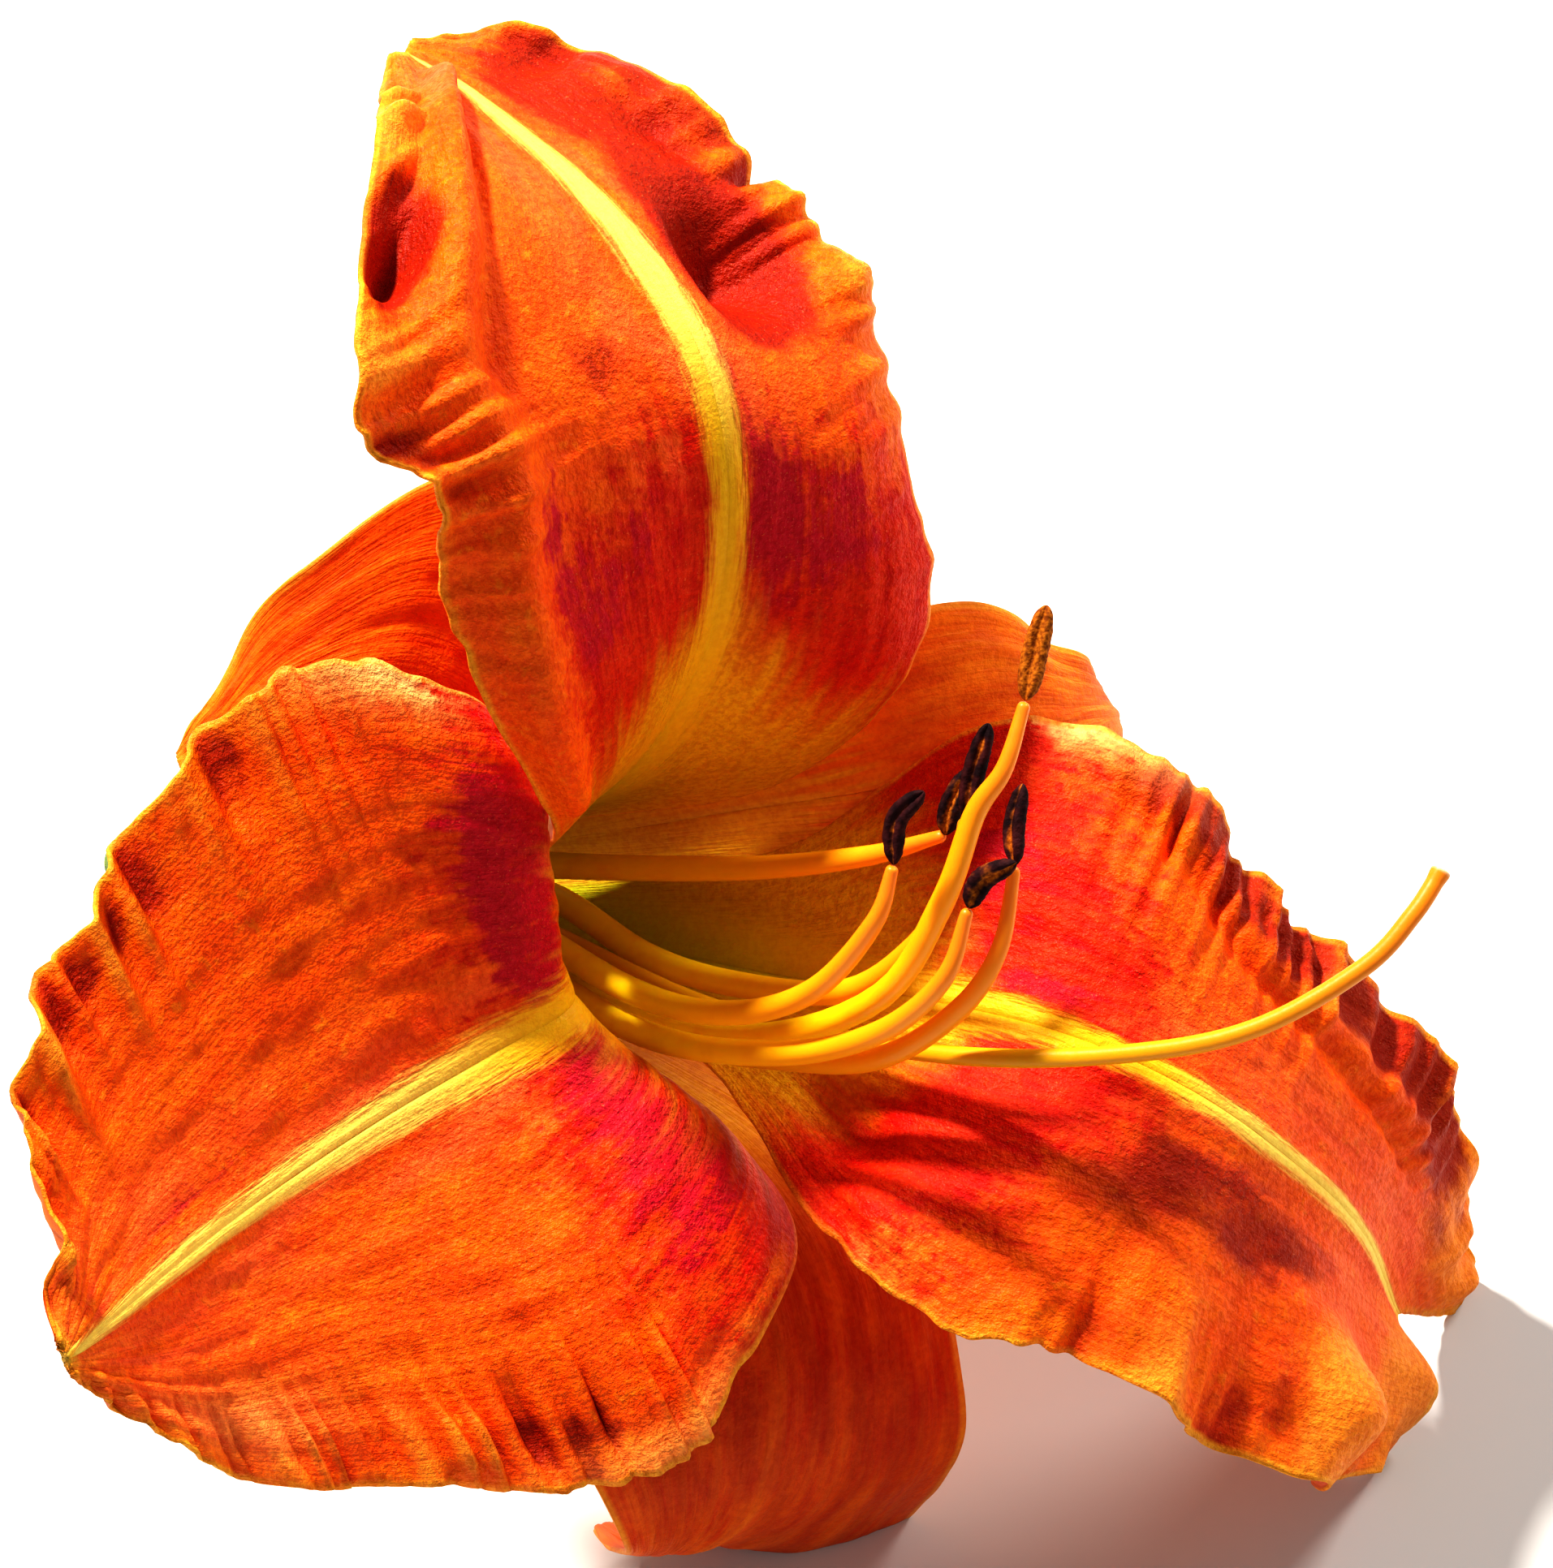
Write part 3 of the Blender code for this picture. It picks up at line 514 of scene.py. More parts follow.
sepalBottom = plainSepal | {
    "seed": 16,
    "azimuth": 277,
    "midrib": [(6.3, 0.3), (10.5, 13), (16, 25), (22, 33.5), (30, 38.5), (39, 40), (47, 37), (52, 29.5),
               (51, 20)],
    "veins": 14,
    "ccw": plainHalf | {
        "width": [2.6, 5, 9, 14, 18, 19, 21.5, 20, 2],
        "inner": [2, 2, 10, 10, 10, 8, 5, 0, 0],
        "middle": [12, 14, 10, 8, 8, 6, 4, 0, 0],
        "outer": [23, 28, 5, -5, -5, 0, 0, 0, 0],
        "lean": [0, 0, 0, 0, 0, 4, 12, 20, 0],
        "waves": [(5, 0.6, 0.1, 0.5, 3)],
        "pale": [(0.29, 0.38, 0.12, 0.35, 1.2)],
        # painted shade over most of the blade, which lies under the petals
        "shade": [(0.60, 0.4, 0.35, 0.9, 0.8)],
    },
    "cw": plainHalf | {
        "width": [2.6, 5, 9, 14, 18, 20, 17.5, 8.5, 2],
        "inner": [2, 2, 5, -5, -10, -12, -8, -4, 0],
        "middle": [12, 14, 0, -12, -18, -18, -12, -5, 0],
        "outer": [23, 28, -5, -15, -20, -20, -12, -5, 0],
        "lean": [0, 0, 0, 0, 0, -6, -12, -10, 0],
        "waves": [(6, 0.6, 0.5, 0.5, 3)],
        # painted shade, as on the other half
        "shade": [(0.60, 0.4, 0.35, 0.9, 0.8)],
    },
}


def addPiece(name, mesh, materials, node):
    for material in materials:
        mesh.materials.append(material)
    piece = bpy.data.objects.new(name, mesh)
    bpy.context.scene.collection.objects.link(piece)
    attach(piece, "root")
    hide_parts(node)
    return piece


def gridMesh(name, points, marks, closed=False):
    # a flat grid whose points are moved to their places; a closed one is sewn along its seam and ends
    rows, columns = points.shape[:2]
    grid = bmesh.new()
    bmesh.ops.create_grid(grid, x_segments=columns - 1, y_segments=rows - 1, size=0.5)
    places = (points * mm).tolist()
    layers = [(grid.verts.layers.float.new(key), values.tolist()) for key, values in marks.items()]
    for vertex in grid.verts:
        column = round((vertex.co.x + 0.5) * (columns - 1))
        row = round((vertex.co.y + 0.5) * (rows - 1))
        vertex.co = places[row][column]
        for layer, values in layers:
            vertex[layer] = values[row][column]
    if closed:
        bmesh.ops.remove_doubles(grid, verts=grid.verts[:], dist=1e-6)
        bmesh.ops.recalc_face_normals(grid, faces=grid.faces[:])
    mesh = bpy.data.meshes.new(name)
    grid.to_mesh(mesh)
    grid.free()
    mesh.shade_smooth()
    return mesh


def patches(half, kind, along, across):
    share = 0 * along
    for place, offset, length, breadth, size in half.get(kind, []):
        share = share + size * np.exp(-((along - place) / length) ** 2 - ((across - offset) / breadth) ** 2)
    return np.minimum(share, 1)


def bladeMarks(blade, along, columns):
    # per point: distances in mm and shares that the colours and the bump follow
    length = lengthOf(midribPoints(blade, np.linspace(0, 1, tissue["lengthSteps"]))[0])
    stripe = smoothThrough(blade["stripe"], along)[:, None]
    s = along[:, None] + 0 * columns[None, :]
    share = columns[None, :] + 0 * s
    halves = []
    for side, hand in (("ccw", 1), ("cw", -1)):
        half = blade[side]
        width = np.maximum(smoothThrough(half["width"], along), tissue["leastWidth"])[:, None]
        halves.append({
            "alongMm": s * length,
            "acrossMm": hand * width * share,
            "vein": hand * max(half["width"]) * share,
            "rimMm": np.minimum(width * (1 - share), (1 - s) * length * tissue["tipRim"]),
            "throatMm": (s - smoothThrough(half["throat"], columns)) * length,
            "eyeMm": (s - smoothThrough(half["eye"], columns)) * length,
            "eyeSideMm": (share - half.get("eyeReach", tissue["eyeReach"])) * width,
            "ribShare": width * share / stripe,
            # the lift leaves out the long ridges, so that no band of painted crest highlight follows them
            "liftMm": ruffle(half | {"ridges": []}, along, columns),
            "pale": patches(half, "pale", s, share),
            "plum": patches(half, "plum", s, share),
            "shade": patches(half, "shade", s, share),
        })
    ccw, cw = halves
    return {key: joined(ccw[key], cw[key]) for key in ccw}


def makeBlade(name, node, blade, materials, slot):
    rows, columns = tissue["grids"][slot]
    along = np.linspace(0, 1, rows) ** tissue["rowPower"]
    across = np.linspace(0, 1, columns) ** tissue["columnPower"]
    points = toWorld(joined(*(halfBlade(blade, side, along, across) for side in ("ccw", "cw"))))
    share = joined(across[None, :], across[None, :]) + 0 * along[:, None]
    thickness = 1 - (1 - tissue["edgeShare"]) * share ** 2
    points = pressedFlat(points, tissue["thickness"] / 2 * thickness)
    mesh = gridMesh(name, points, bladeMarks(blade, along, across) | {"thick": thickness})
    piece = addPiece(name, mesh, materials, node)
    group = piece.vertex_groups.new(name="thick")
    values = np.zeros(len(mesh.vertices), np.float32)
    mesh.attributes["thick"].data.foreach_get("value", values)
    count = tissue["thicknessLevels"]
    levels = np.round(values * count).astype(int)
    for level in range(levels.min(), levels.max() + 1):
        group.add(np.nonzero(levels == level)[0].tolist(), level / count, "REPLACE")
    solid = piece.modifiers.new("thickness", "SOLIDIFY")
    solid.thickness = tissue["thickness"] * mm
    solid.offset = 0
    solid.vertex_group = "thick"
    solid.material_offset = 1


# Nodes

def addNode(tree, kind, settings=None, inputs=None):
    made = tree.nodes.new("ShaderNode" + kind)
    for key, value in (settings or {}).items():
        setattr(made, key, value)
    for key, value in (inputs or {}).items():
        if isinstance(value, bpy.types.NodeSocket):
            tree.links.new(value, made.inputs[key])
        else:
            made.inputs[key].default_value = value
    return made


def calc(tree, operation, first, second=0.0):
    return addNode(tree, "Math", {"operation": operation}, {0: first, 1: second}).outputs[0]


def times(tree, first, second):
    return calc(tree, "MULTIPLY", first, second)


def weighted(tree, *parts):
    # the sum of some values, each times its weight
    terms = [value if weight == 1 else times(tree, value, weight) for value, weight in parts]
    total = terms[0]
    for term in terms[1:]:
        total = calc(tree, "ADD", total, term)
    return total


def ramp(tree, value, start, end, high=1.0, low=0.0):
    settings = {"interpolation_type": "SMOOTHSTEP"}
    inputs = {"Value": value, "From Min": start, "From Max": end, "To Min": low, "To Max": high}
    return addNode(tree, "MapRange", settings, inputs).outputs[0]


def blend(tree, share, first, second, kind="MIX"):
    settings = {"data_type": "RGBA", "blend_type": kind}
    return addNode(tree, "Mix", settings, {0: share, 6: first, 7: second}).outputs[2]


def layered(tree, colour, layers):
    # colours laid over one another in that order, each with its share
    for share, over in layers:
        colour = blend(tree, share, colour, over)
    return colour


def place(tree, x, y, z=0.0):
    return addNode(tree, "CombineXYZ", None, {0: x, 1: y, 2: z}).outputs[0]


def noise(tree, vector, scale, detail=2.0, roughness=0.5):
    inputs = {"Vector": vector, "Scale": scale, "Detail": detail, "Roughness": roughness}
    return addNode(tree, "TexNoise", None, inputs).outputs["Fac"]


def mark(tree, name):
    return addNode(tree, "Attribute", {"attribute_name": name}).outputs["Fac"]


def ownPlace(tree):
    return addNode(tree, "TexCoord").outputs["Object"]


def newGroup(name, inputs, outputs):
    tree = bpy.data.node_groups.new(name, "ShaderNodeTree")
    for key, start in inputs.items():
        socket = tree.interface.new_socket(key, in_out="INPUT", socket_type="NodeSocketFloat")
        socket.default_value = start
    for key in outputs:
        tree.interface.new_socket(key, in_out="OUTPUT", socket_type="NodeSocketFloat")
    return tree, tree.nodes.new("NodeGroupInput").outputs, tree.nodes.new("NodeGroupOutput").inputs


# Streaks along the veins. pace: how fast they change along the blade, against across it. offset: keeps
# one kind from following another.
veinStreaks = {
    "Fine": {"pace": 0.10, "offset": 0, "scale": 1.2, "detail": 3},
    "Broad": {"pace": 0.3, "offset": 7, "scale": 0.33, "detail": 3},
    "Hair": {"pace": 0.10, "offset": 3, "scale": 3.2, "detail": 2},
    "Patch": {"pace": 0.6, "offset": 5, "scale": 0.28, "detail": 3},
}


def makeVeinGroup():
    tree, given, out = newGroup("veinStreaks", {"Vein": 0, "Along": 0}, veinStreaks)
    for key, spec in veinStreaks.items():
        where = place(tree, given["Vein"], times(tree, given["Along"], spec["pace"]), spec["offset"])
        streak = noise(tree, where, spec["scale"], spec["detail"])
        tree.links.new(ramp(tree, streak, 0.3, 0.7), out[key])
    return tree


# Cells and lumps of the skin. scale: against that of the cells. mask: where it starts and is full.
skinCells = {
    "Grain": {"scale": 0.35, "detail": 3.0, "roughness": 0.65, "mask": (0.62, 0.38)},
    # Spark: spots that raise the bump and, on the petals' fronts, carry painted glints
    "Spark": {"scale": 1.0, "detail": 1.0, "roughness": 0.6, "mask": (0.66, 0.76)},
    "Fleck": {"scale": 0.16, "detail": 2.0, "roughness": 0.5, "mask": (0.60, 0.72)},
    "Blotch": {"scale": 0.09, "detail": 4.0, "roughness": 0.65, "mask": (0.32, 0.68)},
}


def makeSkinGroup():
    # Size is that of a cell in mm
    tree, given, out = newGroup("skinCells", {"Size": 0.22}, ("Height", *skinCells))
    where = ownPlace(tree)
    scale = calc(tree, "DIVIDE", 1 / mm, given["Size"])
    made = {}
    for key, spec in skinCells.items():
        made[key] = noise(tree, where, times(tree, scale, spec["scale"]), spec["detail"], spec["roughness"])
        tree.links.new(ramp(tree, made[key], *spec["mask"]), out[key])
    tree.links.new(weighted(tree, (made["Spark"], 0.3), (made["Grain"], 1)), out["Height"])
    return tree


veinGroup = makeVeinGroup()
skinGroup = makeSkinGroup()


def newMaterial(name, finish):
    material = bpy.data.materials.new(name)
    material.use_nodes = True
    for key, value in finish.items():
        material.node_tree.nodes["Principled BSDF"].inputs[key].default_value = value
    return material, material.node_tree


def dressed(material, colour, height, strength, distance, roughness=None):
    # the finished material: its shader gets the colour, the bump and, if given, the roughness
    tree = material.node_tree
    inputs = {"Height": height, "Strength": strength, "Distance": distance * mm}
    bump = addNode(tree, "Bump", None, inputs).outputs[0]
    for key, socket in {"Base Color": colour, "Normal": bump, "Roughness": roughness}.items():
        if socket is not None:
            tree.links.new(socket, tree.nodes["Principled BSDF"].inputs[key])
    return material


def useStreaks(tree):
    inputs = {"Vein": mark(tree, "vein"), "Along": mark(tree, "alongMm")}
    return addNode(tree, "Group", {"node_tree": veinGroup}, inputs).outputs


def useSkin(tree, size):
    return addNode(tree, "Group", {"node_tree": skinGroup}, {"Size": size}).outputs


def grained(tree, colour, share, tint):
    return blend(tree, share, colour, blend(tree, 1.0, colour, tint, "MULTIPLY"))


bladeFinish = {
    "Roughness": 0.5,
    "Subsurface Weight": 0.12,
    "Subsurface Radius": (1.0, 0.25, 0.08),
    "Subsurface Scale": 0.0015,
}

# fades: where a colour starts and where it is full, in mm or as a share, and the most that it covers
petalLook = {
    "orange": (1.0, 0.165, 0.002, 1),
    "deep": (0.93, 0.075, 0.001, 1),
    "light": (1.0, 0.30, 0.010, 1),
    # salmon sheen: a painted pink sheen beside the rib
    "salmonSheen": (1.0, 0.14, 0.05, 1),
    # painted shade in the hollows of folds and pleats
    "hollowShade": (0.60, 0.030, 0.002, 1),
    # dark: the colour of painted shade
    "dark": (0.36, 0.014, 0.001, 1),
    # crest: a painted highlight on the crests of folds and pleats
    "crest": (1.0, 0.37, 0.03, 1),
    "pale": (1.0, 0.74, 0.26, 1),
    "red": (0.66, 0.004, 0.001, 1),
    "coral": (0.90, 0.070, 0.006, 1),
    "purple": (0.60, 0.010, 0.032, 1),
    "yellow": (1.0, 0.56, 0.012, 1),
    "green": (0.54, 0.54, 0.010, 1),
    "cream": (1.0, 0.72, 0.13, 1),
    "gold": (0.96, 0.45, 0.03, 1),
    "grain": (0.66, 0.34, 0.3, 1),
    "paintedGlint": (1.0, 0.42, 0.14, 1),
    "fades": {
        "salmonSheen": (11.0, 3.0), "edge": (6.0, 1.5, 0.35), "hollowShade": (-0.2, -1.5, 0.85),
        "crest": (0.4, 2.0, 0.7), "shade": (0.45, 0.95, 0.92), "eye": (15.0, 3.0), "eyeSide": (3.0, -1.0),
        "plum": (-0.1, 0.5), "throat": (8.0, -2.0), "green": (-6.0, -26.0), "rib": (1.6, 0.65),
        "cream": (-2.0, 14.0), "ribThroat": (4.0, -8.0), "rim": (0.8, 0.25),
    },
    "cellSize": 0.22,
    "finish": bladeFinish | {"Specular IOR Level": 0.14},
}


def petalFront():
    look, fades = petalLook, petalLook["fades"]
    material, tree = newMaterial("petalFront", look["finish"])
    streaks, skin = useStreaks(tree), useSkin(tree, look["cellSize"])
    fine, broad, hair, patch = (streaks[key] for key in veinStreaks)
    grain, paintedGlint, fleck, blotch = (skin[key] for key in skinCells)
    throatMm, eyeMm, rimMm = mark(tree, "throatMm"), mark(tree, "eyeMm"), mark(tree, "rimMm")

    # the field: deeper and lighter orange, a painted pink sheen by the rib, painted shade in hollows,
    # painted highlights on crests, patches of painted shade, and pale patches
    away = calc(tree, "ABSOLUTE", mark(tree, "acrossMm"))
    pinkSheenShare = times(tree, ramp(tree, away, *fades["salmonSheen"]), times(tree, broad, 0.5))
    edge = weighted(tree, (rimMm, 1), (patch, 3.0))
    lift = weighted(tree, (mark(tree, "liftMm"), 1), (blotch, 0.4))
    # painted shade: the shade patches, broken up by streaks and deeper in hollows
    shade = weighted(tree, (mark(tree, "shade"), 1), (broad, 0.25), (lift, -0.32))
    field = layered(tree, look["orange"], [
        (times(tree, patch, 0.6), look["deep"]),
        (times(tree, fleck, 0.45), look["light"]),
        (pinkSheenShare, look["salmonSheen"]),
        (ramp(tree, edge, *fades["edge"]), look["light"]),
        (ramp(tree, lift, *fades["hollowShade"]), look["hollowShade"]),
        (ramp(tree, lift, *fades["crest"]), look["crest"]),
        (ramp(tree, shade, *fades["shade"]), look["dark"]),
        (times(tree, mark(tree, "pale"), 0.9), look["pale"]),
    ])

    # the eye with its plum patches, and the throat, both with a streaked and spotted border
    uneven = weighted(tree, (fine, 3.0), (broad, 6.0))
    spotted = weighted(tree, (eyeMm, 1), (uneven, 1), (fleck, -5.0), (blotch, 6.0))
    side = weighted(tree, (mark(tree, "eyeSideMm"), 1), (blotch, 3.0))
    eye = times(tree, ramp(tree, spotted, *fades["eye"]), ramp(tree, side, *fades["eyeSide"]))
    mottle = weighted(tree, (fine, 0.4), (blotch, 0.3))
    eyeColour = blend(tree, mottle, look["red"], look["coral"])
    broken = weighted(tree, (mark(tree, "plum"), 1), (fine, -0.4), (blotch, -0.4))
    plum = ramp(tree, broken, *fades["plum"])
    throatEdge = weighted(tree, (throatMm, 1), (uneven, 0.6))
    throatColour = blend(tree, ramp(tree, throatMm, *fades["green"]), look["yellow"], look["green"])

    # the rib goes from green in the throat over yellow to cream, and a gold line runs round the margin
    rib = ramp(tree, weighted(tree, (mark(tree, "ribShare"), 1), (hair, 0.35)), *fades["rib"])
    ribColour = layered(tree, look["yellow"], [
        (ramp(tree, eyeMm, *fades["cream"]), look["cream"]),
        (ramp(tree, throatMm, *fades["ribThroat"]), throatColour),
    ])
    rim = times(tree, ramp(tree, rimMm, *fades["rim"]), ramp(tree, broad, 0.0, 1.0, 0.85, low=0.35))
    colour = layered(tree, field, [
        (eye, eyeColour),
        (times(tree, plum, 0.95), look["purple"]),
        (ramp(tree, throatEdge, *fades["throat"]), throatColour),
        (times(tree, rib, 0.95), ribColour),
        (rim, look["gold"]),
    ])
    grainShare = weighted(tree, (hair, 0.08), (grain, 0.45))
    grainShare = times(tree, grainShare, ramp(tree, rib, 0.0, 1.0, 0.35, low=1.0))
    colour = grained(tree, colour, grainShare, look["grain"])
    # painted glints: a pale orange glint colour laid over the sparkle spots of the skin
    colour = blend(tree, times(tree, paintedGlint, 0.22), colour, look["paintedGlint"])
    roughness = calc(tree, "ADD", 0.44, times(tree, grain, 0.12))
    bumps = times(tree, skin["Height"], ramp(tree, rib, 0.0, 1.0, 0.6, low=1.5))
    height = weighted(tree, (hair, 0.16), (bumps, 1), (fine, 0.2))
    return dressed(material, colour, height, 0.8, 0.24, roughness)


backLook = {
    "orange": (0.74, 0.115, 0.008, 1),
    "pale": (0.84, 0.20, 0.025, 1),
    "yellow": (0.62, 0.30, 0.02, 1),
    "green": (0.28, 0.29, 0.03, 1),
    "fades": {"throat": (6.0, -14.0), "rib": (1.6, 0.5, 0.8), "green": (22.0, 2.0, 0.7)},
    "cellSize": 0.25,
    "finish": bladeFinish | {"Roughness": 0.55, "Subsurface Radius": (1.0, 0.3, 0.1),
                             "Specular IOR Level": 0.25},
}


def bladeBack():
    look, fades = backLook, backLook["fades"]
    material, tree = newMaterial("bladeBack", look["finish"])
    streaks, skin = useStreaks(tree), useSkin(tree, look["cellSize"])
    colour = layered(tree, look["orange"], [
        (streaks["Broad"], look["pale"]),
        (times(tree, streaks["Hair"], 0.35), look["pale"]),
        (ramp(tree, mark(tree, "throatMm"), *fades["throat"]), look["yellow"]),
        (ramp(tree, mark(tree, "ribShare"), *fades["rib"]), look["yellow"]),
        (ramp(tree, mark(tree, "alongMm"), *fades["green"]), look["green"]),
    ])
    return dressed(material, colour, weighted(tree, (streaks["Hair"], 1), (skin["Height"], 0.35)), 0.5, 0.16)


sepalLook = {
    "orange": (1.0, 0.17, 0.004, 1),
    "deep": (0.76, 0.055, 0.003, 1),
    # dark: the colour of painted shade
    "dark": (0.42, 0.016, 0.002, 1),
    "light": (1.0, 0.29, 0.015, 1),
    "yellow": (0.93, 0.48, 0.02, 1),
    "green": (0.50, 0.50, 0.012, 1),
    "gold": (0.90, 0.38, 0.03, 1),
    "pale": (1.0, 0.66, 0.03, 1),
    "grain": (0.70, 0.36, 0.3, 1),
    "fades": {"throat": (9.0, 0.0), "green": (-4.0, -20.0), "rib": (1.7, 0.4, 0.4), "rim": (0.9, 0.3, 0.7)},
    "cellSize": 0.22,
    "finish": bladeFinish | {"Specular IOR Level": 0.12},
}


def sepalFront():
    look, fades = sepalLook, sepalLook["fades"]
    material, tree = newMaterial("sepalFront", look["finish"])
    streaks, skin = useStreaks(tree), useSkin(tree, look["cellSize"])
    fine, broad, hair, patch = (streaks[key] for key in veinStreaks)
    throatMm, shadeMark = mark(tree, "throatMm"), mark(tree, "shade")
    # painted shade from the shade patches, broken up by streaks
    shade = times(tree, shadeMark, ramp(tree, broad, 0.0, 1.0, low=0.6))
    throatEdge = weighted(tree, (throatMm, 1), (fine, 8.0))
    throatColour = blend(tree, ramp(tree, throatMm, *fades["green"]), look["yellow"], look["green"])
    # the rib shows less where the blade lies in shade
    rib = ramp(tree, mark(tree, "ribShare"), *fades["rib"])
    rib = times(tree, rib, ramp(tree, shadeMark, 0.2, 0.6, 0.15, low=1.0))
    colour = layered(tree, look["orange"], [
        (patch, look["deep"]),
        (times(tree, fine, 0.4), look["light"]),
        (shade, look["dark"]),
        (ramp(tree, throatEdge, *fades["throat"]), throatColour),
        (times(tree, mark(tree, "pale"), 0.95), look["pale"]),
        (rib, look["gold"]),
        (ramp(tree, mark(tree, "rimMm"), *fades["rim"]), look["gold"]),
    ])
    colour = grained(tree, colour, weighted(tree, (hair, 0.15), (skin["Grain"], 0.3)), look["grain"])
    height = weighted(tree, (hair, 0.3), (skin["Height"], 0.9), (fine, 0.3))
    return dressed(material, colour, height, 0.7, 0.2)


# Rods: filaments, anthers, pistil and stub are rings swept along a route

def turnRound(sides):
    return np.linspace(0, 2 * math.pi, sides + 1)


def sweptRings(path, headings, across, radii):
    # radii: a row for each ring; the sideways direction is carried along so that the rings don't twist
    angle = turnRound(radii.shape[1] - 1)[:, None]
    rings = []
    for point, heading, reach in zip(path, headings, radii):
        across = across - heading * np.dot(across, heading)
        across = across / np.linalg.norm(across)
        up = np.cross(heading, across)
        ring = point + reach[:, None] * (np.cos(angle) * across + np.sin(angle) * up)
        ring[-1] = ring[0]
        rings.append(ring)
    return np.array(rings)


def roundEnds(places, lengthMm, endMm):
    # share of the full radius: rounds off over that length at both ends
    first = np.clip(places * lengthMm / endMm, 0, 1)
    last = np.clip((1 - places) * lengthMm / endMm, 0, 1)
    return np.sqrt(1 - (1 - first) ** 2) * np.sqrt(1 - (1 - last) ** 2)


def rodPlaces(rows):
    # places along a rod, closer together towards its two ends
    even = np.linspace(0, 1, rows)
    return even - 0.8 * np.sin(2 * math.pi * even) / (2 * math.pi)


def makeRod(name, node, route, places, radii, endMm, marks, material):
    path = toWorld(smoothThrough(route, places))
    radii = radii * roundEnds(places, lengthOf(path), endMm)[:, None]
    headings = unit(np.gradient(path, axis=0))
    # the first sideways direction is square to one that no rod starts along
    rings = sweptRings(path, headings, np.cross(headings[0], [0.3, 1.0, 0.2]), radii)
    mesh = gridMesh(name, rings, marks, closed=True)
    addPiece(name, mesh, [material], node)


# Each filament's foot stands in the tube on a ring; azimuths: where on it. gap: from tip to anther.
stamens = {
    "ring": 3.0,
    "foot": -7.7,
    "radii": [1.15, 1.15, 1.1, 0.98, 0.82, 0.48],
    "grid": (90, 18),
    "endMm": 0.9,
    "azimuths": {1: 90, 2: 150, 3: 270, 4: 210, 5: 330, 6: 30},
    "routes": {
        1: [(0.3, 2.4, 14), (2, 3, 36.5), (3, 4.5, 50), (3.5, 6.5, 58.5)],
        2: [(-3.1, -1.2, 14), (-3.4, -6.8, 31), (-4.8, -7.8, 43.5), (-6, -5.5, 54), (-7, 0, 61.5),
            (-7, 4.5, 63.5)],
        3: [(0, -5.8, 14), (-0.5, -9.5, 33), (-0.5, -9.5, 45), (-1, -5.5, 57), (-1.5, 2, 63.5),
            (-1.5, 8.5, 66.5), (-1, 12, 69), (0, 17, 70)],
        4: [(-2.7, -4.4, 14), (-3.3, -10.1, 32.5), (-3.5, -10.7, 47.5), (-4, -8.5, 59),
            (-4.5, -4, 66.5), (-4.5, 1.5, 69)],
        5: [(2.8, -3.8, 14), (2.9, -6.7, 23), (2.5, -10.8, 32), (2, -11.5, 41.5), (2.5, -11, 52.5),
            (3, -7, 60.5), (3, -2, 65), (3, 4.5, 66.5)],
        6: [(3.2, -0.2, 14), (3.3, -4.5, 25.5), (4.1, -6.2, 35), (3, -6, 48.5), (1.5, -2, 57.5),
            (1, 3, 62), (1, 8, 63)],
    },
    "gap": 0.05,
}

# run: the middle and far end of each anther from the filament's tip. pollen: how open it is.
# An anther is two lobes side by side with a seam along each flat face.
anthers = {
    1: {"run": [(0, 2.4, 0.6), (0.5, 5.2, 2.0)], "pollen": 0.35},
    2: {"run": [(-0.4, 3.4, 0.6), (0, 5.6, 3.0)], "pollen": 0.0},
    3: {"run": [(0.5, 3.6, 0.4), (0.6, 7.2, 1.4)], "pollen": 1.0},
    4: {"run": [(0, 2.2, 1.4), (0.2, 3.6, 4.6)], "pollen": 0.3},
    5: {"run": [(0.1, 3.0, -0.3), (0.4, 6.2, 0.2)], "pollen": 0.15},
    6: {"run": [(0, 3.6, 0.9), (0.1, 7.2, 2.2)], "pollen": 0.1},
}
antherForm = {
    "radius": 0.88,
    "swell": 0.14,
    "shape": [0.5, 0.9, 1.0, 0.98, 0.85, 0.5],
    "grid": (60, 36),
    "endMm": 0.9,
    "flat": 0.72,
    "lobe": 0.28,
    "lobePower": 1.2,
    "seamWidth": 0.12,
    "seamDepth": 0.34,
    "seamDust": 0.35,
    "lumps": (24, 14),
    "lumpHeight": 0.05,
}

# Colours along a waxy rod as shares of its length, laid over its first colour below and above a mottle
waxyFinish = {
    "Roughness": 0.4,
    "Specular IOR Level": 0.3,
    "Subsurface Weight": 0.25,
    "Subsurface Radius": (1.0, 0.6, 0.1),
    "Subsurface Scale": 0.0015,
}
filamentLook = {
    "first": (1.0, 0.72, 0.004, 1),
    "below": [((0.35, 0.72), (0.98, 0.39, 0.006, 1)), ((0.70, 0.98), (0.92, 0.25, 0.012, 1))],
    "mottle": (0.85, 0.36, 0.01, 1),
    "above": [((0.25, 0.0, 0.7), (0.62, 0.55, 0.05, 1))],
    "mottleScale": 450.0,
    "bumpScale": 1600.0,
    "finish": waxyFinish | {"Coat Weight": 0.1},
}
styleLook = {
    "first": (0.72, 0.38, 0.006, 1),
    "below": [((0.55, 0.9), (0.80, 0.26, 0.010, 1))],
    "mottle": (0.70, 0.30, 0.01, 1),
    "above": [((0.22, 0.05), (0.30, 0.40, 0.08, 1)), ((0.988, 0.997), (0.86, 0.62, 0.42, 1))],
    "mottleScale": 420.0,
    "bumpScale": 1500.0,
    "finish": waxyFinish,
}


